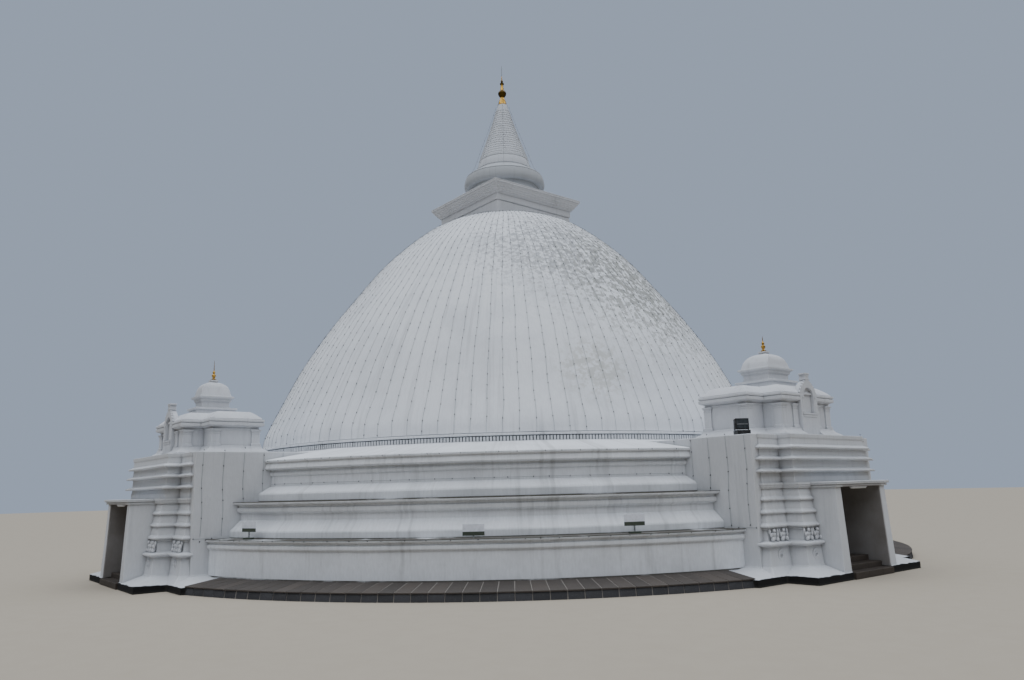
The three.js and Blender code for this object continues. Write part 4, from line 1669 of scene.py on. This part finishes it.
    def figure(self, shape: Shape, x: float, y: float) -> None:
        """One squat figure with bent knees and raised arms, in plain rounded masses.

        Args:
            shape: The shape that it is added to.
            x: How far out it stands.
            y: Its place across.
        """
        shape.ball((x + 0.05, y, 1.12), (0.06, 0.09, 0.09))
        shape.ball((x + 0.06, y, 1.215), (0.055, 0.11, 0.065))
        shape.ball((x + 0.085, y, 1.31), (0.045, 0.055, 0.052))
        for sign in (-1, 1):
            shape.ball((x + 0.1, y + sign * 0.11, 1.09), (0.055, 0.045, 0.07))
            shape.ball((x + 0.09, y + sign * 0.15, 1.2), (0.036, 0.034, 0.065))
            shape.ball((x + 0.07, y + sign * 0.175, 1.29), (0.03, 0.032, 0.07))

    def roundel(self, shape: Shape, x: float, y: float) -> None:
        """One round relief: a raised rim round a low boss.

        Args:
            shape: The shape that it is added to.
            x: The wall's face.
            y: Its place across.
        """
        z = self.roundel_height
        for outer, inner, proud in ((0.15, 0.115, 0.022), (0.05, 0.03, 0.028)):
            section = ((outer, -0.05), (outer, proud * 0.6), ((outer + inner) / 2, proud), (inner, 0.004))
            shape.body([[(x + out, y + r * math.cos(a), z + r * math.sin(a)) for a in bearings(20)]
                        for r, out in section])

    def porch(self) -> None:
        """Two leaning side walls and a flat roof slab with grooves in its edge."""
        shape = Shape()
        h, back, front = self.porch_half, self.lower_outer - 0.04, self.porch_outer
        lean = [(self.porch_batter * share, z) for share, z in (
            (1, 0.0), (0.75, 0.6), (0.5, 1.2), (0.48, 1.22), (0.25, 1.8), (0, PASSAGE_TOP + 0.01))]
        self.pair(shape, (back, front), (PASSAGE_HALF, h), lean, arris=0.025, step=0.3)
        slab = [(reach, PASSAGE_TOP + rise) for reach, rise in (
            (0.05, 0), (0.06, 0.01), (0.06, 0.05), (0.045, 0.055), (0.045, 0.065), (0.1, 0.075),
            (0.11, 0.085), (0.11, 0.105), (0.095, 0.11), (0.11, 0.115), (0.11, 0.14), (0.1, 0.15))]
        shape.moulded(Plan.mirrored((back, -h, 0, -1), (front, -h, 1, -1)).dressed(0.02, 0.3), slab)
        self.done(shape, "gate_porch_plaster", "gate_porch", GATE_WASH)

    def steps(self) -> None:
        """Worn stone steps in blocks, and the floor of the passage."""
        shape = Shape()
        gap = 0.004
        half = PASSAGE_HALF - gap
        edges = (*self.step_edges, self.passage_inner + 0.01)
        for row, (edge, inner, top) in enumerate(zip(edges, edges[1:], self.step_tops)):
            cuts = [-half, -0.33 + 0.1 * row, 0.41 - 0.12 * row, half]
            for start, stop in zip(cuts, cuts[1:]):
                shape.box((inner - 0.05, start + gap, 0.0), (edge, stop - gap, top), arris=0.014)
        self.done(shape, "gate_steps_stone", "gate_steps", STEP_STONE, rough=0.004, slot=Slot.STONE)

    def tube(self) -> None:
        """A tube light across the porch, under its slab."""
        shape = Shape()
        x, half = self.porch_outer - 0.07, 0.42
        shape.box((x - 0.03, -half, 2.378), (x + 0.03, half, 2.409), 1, arris=0.004)
        shape.box((x - 0.016, -half + 0.02, 2.35), (x + 0.016, half - 0.02, 2.38), 0, arris=0.006)
        shape.hand_smoothed(0.0, self.side.turn)
        shown(meshed(shape, [DIFFUSER, PLATE], 40), f"porch_light_{self.side.word}")


@dataclass
class Storey(GatePart):
    """The upper storey of a gatehouse: walls with pilasters, gable with a niche, roof, tower and finial."""

    arm_front: float = 14.03
    arm_half: float = 1.27
    block_back: float = 12.0
    block_front: float = 13.43
    block_half: float = 2.08
    foot: float = 4.12
    eave: float = 4.72
    top: float = 5.03
    pilaster_half: float = 0.13
    proud: float = 0.045
    face: float = 14.18
    gable_depth: float = 0.2
    gable_half: float = 0.45
    gable_slope: tuple[Flat, ...] = ((0.45, 5.02), (0.34, 5.31), (0.09, 5.43))
    gable_top: float = 5.67
    arch_radius: float = 0.26
    arch_depth: float = 0.1
    sill: float = 4.47
    springing: float = 4.97
    roof_rise: float = 0.24
    roof_flat: float = 5.3
    tower_x: float = 12.8
    widening: float = 0.215
    finial_foot: float = 6.52
    finial_tip: float = 7.108
    lift: float = 0.09
    lift_from: float = 4.3
    lift_to: float = 7.0

    def build(self) -> None:
        """Makes the upper gatehouse."""
        self.walls()
        self.gable()
        self.roof()
        self.finial()

    @property
    def raised(self) -> bool:
        """Whether this is one of the pair of storeys that stand higher and have wider towers."""
        return self.side in (Side.EAST, Side.WEST)

    def lifted(self, height: float) -> float:
        """Raises one pair of storeys and lowers the other, between their foot and the tips of the finials.

        Args:
            height: The height in the drawing.

        Returns:
            The height where it comes to lie.
        """
        if not self.lift_from < height < self.lift_to:
            return height
        return height + (self.lift if self.raised else -self.lift)

    def walls(self) -> None:
        """The walls on their ledge, with corner pilasters and an eave that stops either side of the gable."""
        b, f, h, a, w = self.block_back, self.block_front, self.block_half, self.arm_front, self.arm_half
        stop = self.gable_half - 0.02
        plan = Plan.mirrored((b, -h, -1, -1), (f, -h, 1, -1), (f, -w, 1, -1), (a, -w, 1, -1),
                             (a, -stop, 1, 0), (a, -stop + 0.005, 0, 0))
        ledge = [(0.265, FLANK_TOP - 0.01), (0.27, FLANK_TOP + 0.05), (0.25, FLANK_TOP + 0.07), (0.13, 4.03),
                 (0.1, 4.07), (0.09, 4.115), (0.02, self.foot), (0, 4.13)]
        eave = [(reach, self.eave + rise) for reach, rise in (
            (0, 0), (0.025, 0.015), (0.025, 0.045), (0.01, 0.05), (0.01, 0.07), (0.1, 0.105), (0.15, 0.125),
            (0.15, 0.21), (0.12, 0.22), (0.12, 0.235), (0.15, 0.245), (0.15, 0.3))]
        shape = Shape()
        shape.moulded(plan.dressed(0.018, 0.25), softened([*ledge, *eave, (0.14, self.top)], 0.006))
        for x, y, out, corner in ((b, h, -1, True), (f, h, 1, True), (a, w, 1, True),
                                  (a, self.gable_half + 0.13, 1, False)):
            for sign in (-1, 1):
                self.pilaster(shape, x, sign * y, out, corner)
        self.done(shape, "gate_storey_plaster", "gate_storey")

    def pilaster(self, shape: Shape, x: float, y: float, out: int, corner: bool) -> None:
        """A pilaster with a two-step base and cap, standing a little out of the walls.

        Args:
            shape: The shape that it is added to.
            x: The wall's face, or the corner's.
            y: The corner's place across, or the pilaster's middle where it stands between corners.
            out: 1 where the wall faces away from the dome and -1 where it faces the dome.
            corner: Whether it stands at a corner.
        """
        half = self.pilaster_half
        if corner:
            y -= math.copysign(half - self.proud, y)
        middle = x - out * (half - self.proud)
        plan = Plan.block(middle - half, middle + half, half, middle=y)
        z, e = self.foot, self.eave
        outline = [(0.035, z), (0.035, z + 0.04), (0.02, z + 0.045), (0.02, z + 0.075), (0, z + 0.09),
                   (0, e - 0.13), (0.012, e - 0.125), (0.012, e - 0.105), (0, e - 0.1), (0, e - 0.07),
                   (0.02, e - 0.055), (0.02, e - 0.03), (0.04, e - 0.02), (0.04, e + 0.01)]
        shape.moulded(plan.dressed(0.01, 1.0), outline)

    def gable(self) -> None:
        """The gable on the arm's end, with an arched niche, a sill and a block on top."""
        shape = Shape()
        face, half, radius, sill = self.face, self.gable_half, self.arch_radius, self.sill
        back = face - self.gable_depth
        slope = [tuple((1 - t) ** 2 * a + 2 * t * (1 - t) * b + t * t * c
                       for a, b, c in zip(*self.gable_slope)) for t in (k / 10 for k in range(11))]
        arch = [(radius * math.cos(a), self.springing + radius * math.sin(a))
                for a in (math.pi / 2 * k / 8 for k in range(9))]
        # Each half runs up outside and down inside, so that the niche stays open.
        inside = [*reversed(arch), (radius, sill), (0, sill), (0, FLANK_TOP)]
        edge = [(half, FLANK_TOP), *slope, (slope[-1][0], self.gable_top), (0, self.gable_top), *inside]
        for sign in (-1, 1):
            shape.upright([(sign * y, z) for y, z in edge], back, face)
        shape.box((back - 0.02, -radius - 0.02, sill - 0.02),
                  (face - self.arch_depth, radius + 0.02, self.springing + radius + 0.02))
        self.trim(shape, slope)
        self.done(shape, "gate_niche_plaster", "gate_storey", rough=0.003)

    def trim(self, shape: Shape, slope: Sequence[Flat]) -> None:
        """Small columns at the jambs, knobs up the slopes, a sill in two steps and the steps of the block.

        Args:
            shape: The shape that it is added to.
            slope: The gable's curved edge as (across, height).
        """
        face, radius, sill, top = self.face, self.arch_radius, self.sill, self.springing
        column = [(0.045, sill), (0.045, sill + 0.05), (0.03, sill + 0.07), (0.026, top - 0.09),
                  (0.045, top - 0.05), (0.045, top)]
        for sign in (-1, 1):
            shape.turned(column, 10, middle=(face - 0.005, sign * (radius + 0.07)))
            for y, z in slope[1:-1:2]:
                shape.ball((face - 0.03, sign * y, z), (0.04, 0.035, 0.035), rows=4)
        for half, low, high, back, proud in (
                (radius + 0.13, sill - 0.05, sill, 0.2, 0.03),
                (radius + 0.1, sill - 0.12, sill - 0.05, 0.2, 0.015), (0.11, 5.46, 5.5, 0.205, 0.01),
                (0.105, 5.58, 5.61, 0.205, 0.01), (0.125, 5.62, 5.668, 0.205, 0.01)):
            shape.box((face - back, -half, low), (face + proud, half, high), arris=0.006)

    def roof(self) -> None:
        """The swelling slopes, the plinth and the tower with its cushion-shaped top."""
        shape = Shape()
        z, start, neck_half = self.top + 0.03, 12.9, 0.1
        outline = [(0.1, self.top - 0.01), (0.1, z)]
        outline += [(0.1 - 0.3 * s, z + self.roof_rise * s * (1.3 - 0.3 * s))
                    for s in (k / 8 for k in range(1, 9))]
        arm = Plan.mirrored((start, -self.arm_half, 0, -1), (self.arm_front, -self.arm_half, 1, -1))
        block = Plan.block(self.block_back, self.block_front, self.block_half)
        for plan in (arm, block):
            shape.moulded(plan.dressed(0.02, 0.25), outline)
        x, wider = self.tower_x, self.widening if self.raised else 0.0
        plinth = [(-0.05, 5.2), (-0.05, 5.48), (-0.02, 5.49), (0, 5.5), (0, 5.55), (-0.02, 5.56)]
        shape.moulded(Plan.block(x - 0.68, x + 0.68, 0.48 + wider).dressed(0.015, 0.3), plinth)
        walls = [(0.47, 0.35, self.roof_flat), (0.47, 0.35, 5.6), (0.45, 0.33, 5.61), (0.45, 0.33, 5.745),
                 (0.47, 0.35, 5.755), (0.47, 0.35, 5.775), (0.5, 0.38, 5.79), (0.5, 0.38, 5.855),
                 (0.52, 0.4, 5.862), (0.575, 0.455, 5.9), (0.575, 0.455, 5.945), (0.54, 0.43, 5.952)]
        levels = (5.97, 6.06, 6.17, 6.27, 6.35, 6.41, 6.44)
        length = curved(list(zip((0.49, 0.47, 0.45, 0.41, 0.34, 0.23, neck_half), levels)), 3)
        width = curved(list(zip((0.38, 0.35, 0.31, 0.27, 0.22, 0.16, neck_half), levels)), 3)
        # The wider tower draws in more at its sides, so that it ends in the same square neck.
        cushion = [(half_x, half_y + wider * min(1.0, max(0.0, (half_y - neck_half) / 0.23)), z)
                   for (half_x, z), (half_y, _) in zip(length, width)]
        neck = [(half, half, z) for half, z in ((neck_half, 6.46), (0.12, 6.475), (0.125, 6.48),
                                                (0.125, self.finial_foot))]
        body = [(half_x, half_y + wider, z) for half_x, half_y, z in walls]
        shape.tapered(x, [*body, *cushion, *neck])
        self.done(shape, "gate_roof_plaster", "gate_roof")

    def finial(self) -> None:
        """The gilt finial: a flat foot, a bulb, a bead and a spike."""
        shape = Shape()
        line = [(0.08, 0.0), (0.085, 0.01), (0.085, 0.035), (0.06, 0.045),
                *curved([(0.035, 0.09), (0.07, 0.16), (0.03, 0.22)], 4),
                *curved([(0.032, 0.235), (0.046, 0.27), (0.015, 0.33)], 3), (0.012, 0.4)]
        outline = [*((r, self.finial_foot + z) for r, z in line), (0.004, self.finial_tip)]
        shape.turned(outline, 24, middle=(self.tower_x, 0))
        self.done(shape, "gate_finial_gilt", "gate_finial", GILT, rough=0.0, slot=Slot.GILDING, smooth=45)


@dataclass
class Floodlight:
    """The floodlight on the wall top of the gatehouse that faces +X: a finned housing in a yoke on a box."""

    place: Point = (13.72, -2.8, FLANK_TOP)
    turn: float = -0.6
    fins: int = 7
    fin_pitch: float = 0.055

    def build(self) -> None:
        """Makes the floodlight, turned towards the open corner of the terraces."""
        shape = Shape()
        shape.box((-0.15, -0.19, 0.0), (0.15, 0.19, 0.13), 0, arris=0.01)
        shape.box((-0.1, -0.18, 0.16), (0.03, 0.18, 0.45), 0, arris=0.015)
        shape.box((0.03, -0.19, 0.15), (0.06, 0.19, 0.46), 0, arris=0.008)
        shape.box((0.05, -0.165, 0.18), (0.066, 0.165, 0.43), 2)
        shape.box((0.06, -0.155, 0.285), (0.072, 0.155, 0.315), 1)
        for k in range(self.fins):
            y = -0.165 + self.fin_pitch * k
            shape.box((-0.15, y - 0.006, 0.18), (-0.09, y + 0.006, 0.43), 0)
        for sign in (-1, 1):
            shape.box((-0.06, sign * 0.2 - 0.01, 0.1), (0.0, sign * 0.2 + 0.01, 0.33), 1, arris=0.003)
        shape.hand_smoothed(0.0, self.turn)
        shape.points = [tuple(a + b for a, b in zip(point, self.place)) for point in shape.points]
        shown(meshed(shape, [BLACK_PAINT, CAST, FLOOD_GLASS], 30), "flank_floodlight")


@dataclass
class Plates:
    """Bare sheet plates on short posts, standing on the lowest ledge: a pale sheet over a dark strip.

    Each site gives its angle in degrees, its radius and its post's height; a tall post has a base.
    """

    width: float = 0.56
    tall: float = 0.1
    sites: tuple[Point, ...] = ((-70.97, 13.85, 0.15), (-42.9, 13.9, 0.01), (-25.85, 13.95, 0.14))

    def build(self) -> None:
        """Makes the plates."""
        half, z = self.width / 2, LOWER_LEDGE
        for number, (angle, radius, post) in enumerate(self.sites, 1):
            shape = Shape()
            if post > self.tall:
                shape.box((radius - 0.07, -0.15, z - 0.012), (radius + 0.07, 0.15, z + 0.05), 1, arris=0.008)
            shape.box((radius - 0.015, -0.018, z - 0.01), (radius + 0.005, 0.018, z + post + 0.25), 2,
                      arris=0.003)
            low = z + 0.05 + post
            shape.box((radius, -half, low), (radius + 0.012, half, low + 0.105), 1, arris=0.002)
            shape.box((radius, -half, low + 0.1), (radius + 0.014, half, low + 0.29), 0, arris=0.002)
            shape.hand_smoothed(0.0, math.radians(angle))
            shown(meshed(shape, [PLATE, GREEN_PAINT, GALVANISED], 30), f"bare_plate_{number}")


@dataclass
class Studio:
    """The pale floor, soft light and a camera where the photograph was taken."""

    place: Point = (26.640, -21.399, 2.55)
    azimuth: float = 51.226
    swing: float = 0.277
    pitch: float = 10.859
    roll: float = 1.482
    lens: float = 27.457
    reach: float = 200.0
    sky_light: float = 0.17
    sky_extra: float = 0.5

    def build(self) -> None:
        """Sets up the floor, the world, the lights and the camera."""
        self.floor()
        self.light()
        self.camera()

    def floor(self) -> None:
        """A plain pale floor."""
        far = self.reach
        mesh = bpy.data.meshes.new("studio_floor")
        mesh.from_pydata([(-far, -far, 0), (far, -far, 0), (far, far, 0), (-far, far, 0)], [], [(0, 1, 2, 3)])
        mesh.materials.append(FLOOR.material())
        ground = bpy.data.objects.new("studio_floor", mesh)
        bpy.context.scene.collection.objects.link(ground)

    def light(self) -> None:
        """An even sky, seen paler than it lights, and two wide suns, as under cloud."""
        world = bpy.data.worlds.new("studio")
        world.use_nodes = True
        tree = world.node_tree
        seen = put(tree, "ShaderNodeLightPath").outputs["Is Camera Ray"]
        glow = put(tree, "ShaderNodeMath", {0: seen, 1: self.sky_extra, 2: self.sky_light},
                   operation="MULTIPLY_ADD")
        feed(tree, tree.nodes["Background"], {"Color": linear("#b9c8e0"), "Strength": glow})
        bpy.context.scene.world = world
        for name, energy, angle, tilt, turn in (("overhead", 3.7, 104, 7, 60), ("side", 0.12, 90, 55, 40)):
            data = bpy.data.lights.new(name, "SUN")
            data.energy = energy
            data.angle = math.radians(angle)
            data.color = linear("#f4f9ff")[:3]
            lamp = bpy.data.objects.new(name, data)
            lamp.rotation_euler = (math.radians(tilt), 0, math.radians(turn))
            bpy.context.scene.collection.objects.link(lamp)

    def camera(self) -> None:
        """The camera, with the photograph's place, direction and slight roll."""
        azimuth, swing, pitch, roll = map(math.radians, (self.azimuth, self.swing, self.pitch, self.roll))
        ahead = Vector((-math.sin(azimuth), math.cos(azimuth), 0))
        right = Vector((math.cos(azimuth), math.sin(azimuth), 0))
        ahead, right = (ahead * math.cos(swing) + right * math.sin(swing),
                        right * math.cos(swing) - ahead * math.sin(swing))
        zenith = Vector((0, 0, 1))
        gaze = ahead * math.cos(pitch) + zenith * math.sin(pitch)
        up = zenith * math.cos(pitch) - ahead * math.sin(pitch)
        up, right = up * math.cos(roll) + right * math.sin(roll), right * math.cos(roll) - up * math.sin(roll)
        pose = Matrix((right, up, -gaze)).transposed().to_4x4()
        pose.translation = Vector(self.place)
        data = bpy.data.cameras.new("camera")
        data.sensor_width = 36.0
        data.lens = self.lens
        data.clip_end = 500.0
        camera = bpy.data.objects.new("camera", data)
        camera.matrix_world = pose
        bpy.context.scene.collection.objects.link(camera)
        bpy.context.scene.camera = camera


def main() -> None:
    """Builds the stupa and its studio in order."""
    logging.basicConfig(level=logging.INFO, format="%(name)s %(message)s")
    # Without a seed the plaster would be uneven in another way in each run.
    noise.seed_set(NOISE_SEED)
    Studio().build()
    for side in Side:
        Kerb(side).build()
    Terraces().build()
    DentilCourse().build()
    dome = Dome()
    dome.build()
    LampStrings(dome).build()
    Crown().build()
    for side in Side:
        Gatehouse(side).build()
        Storey(side).build()
    Floodlight().build()
    Plates().build()


if __name__ == "__main__":
    main()
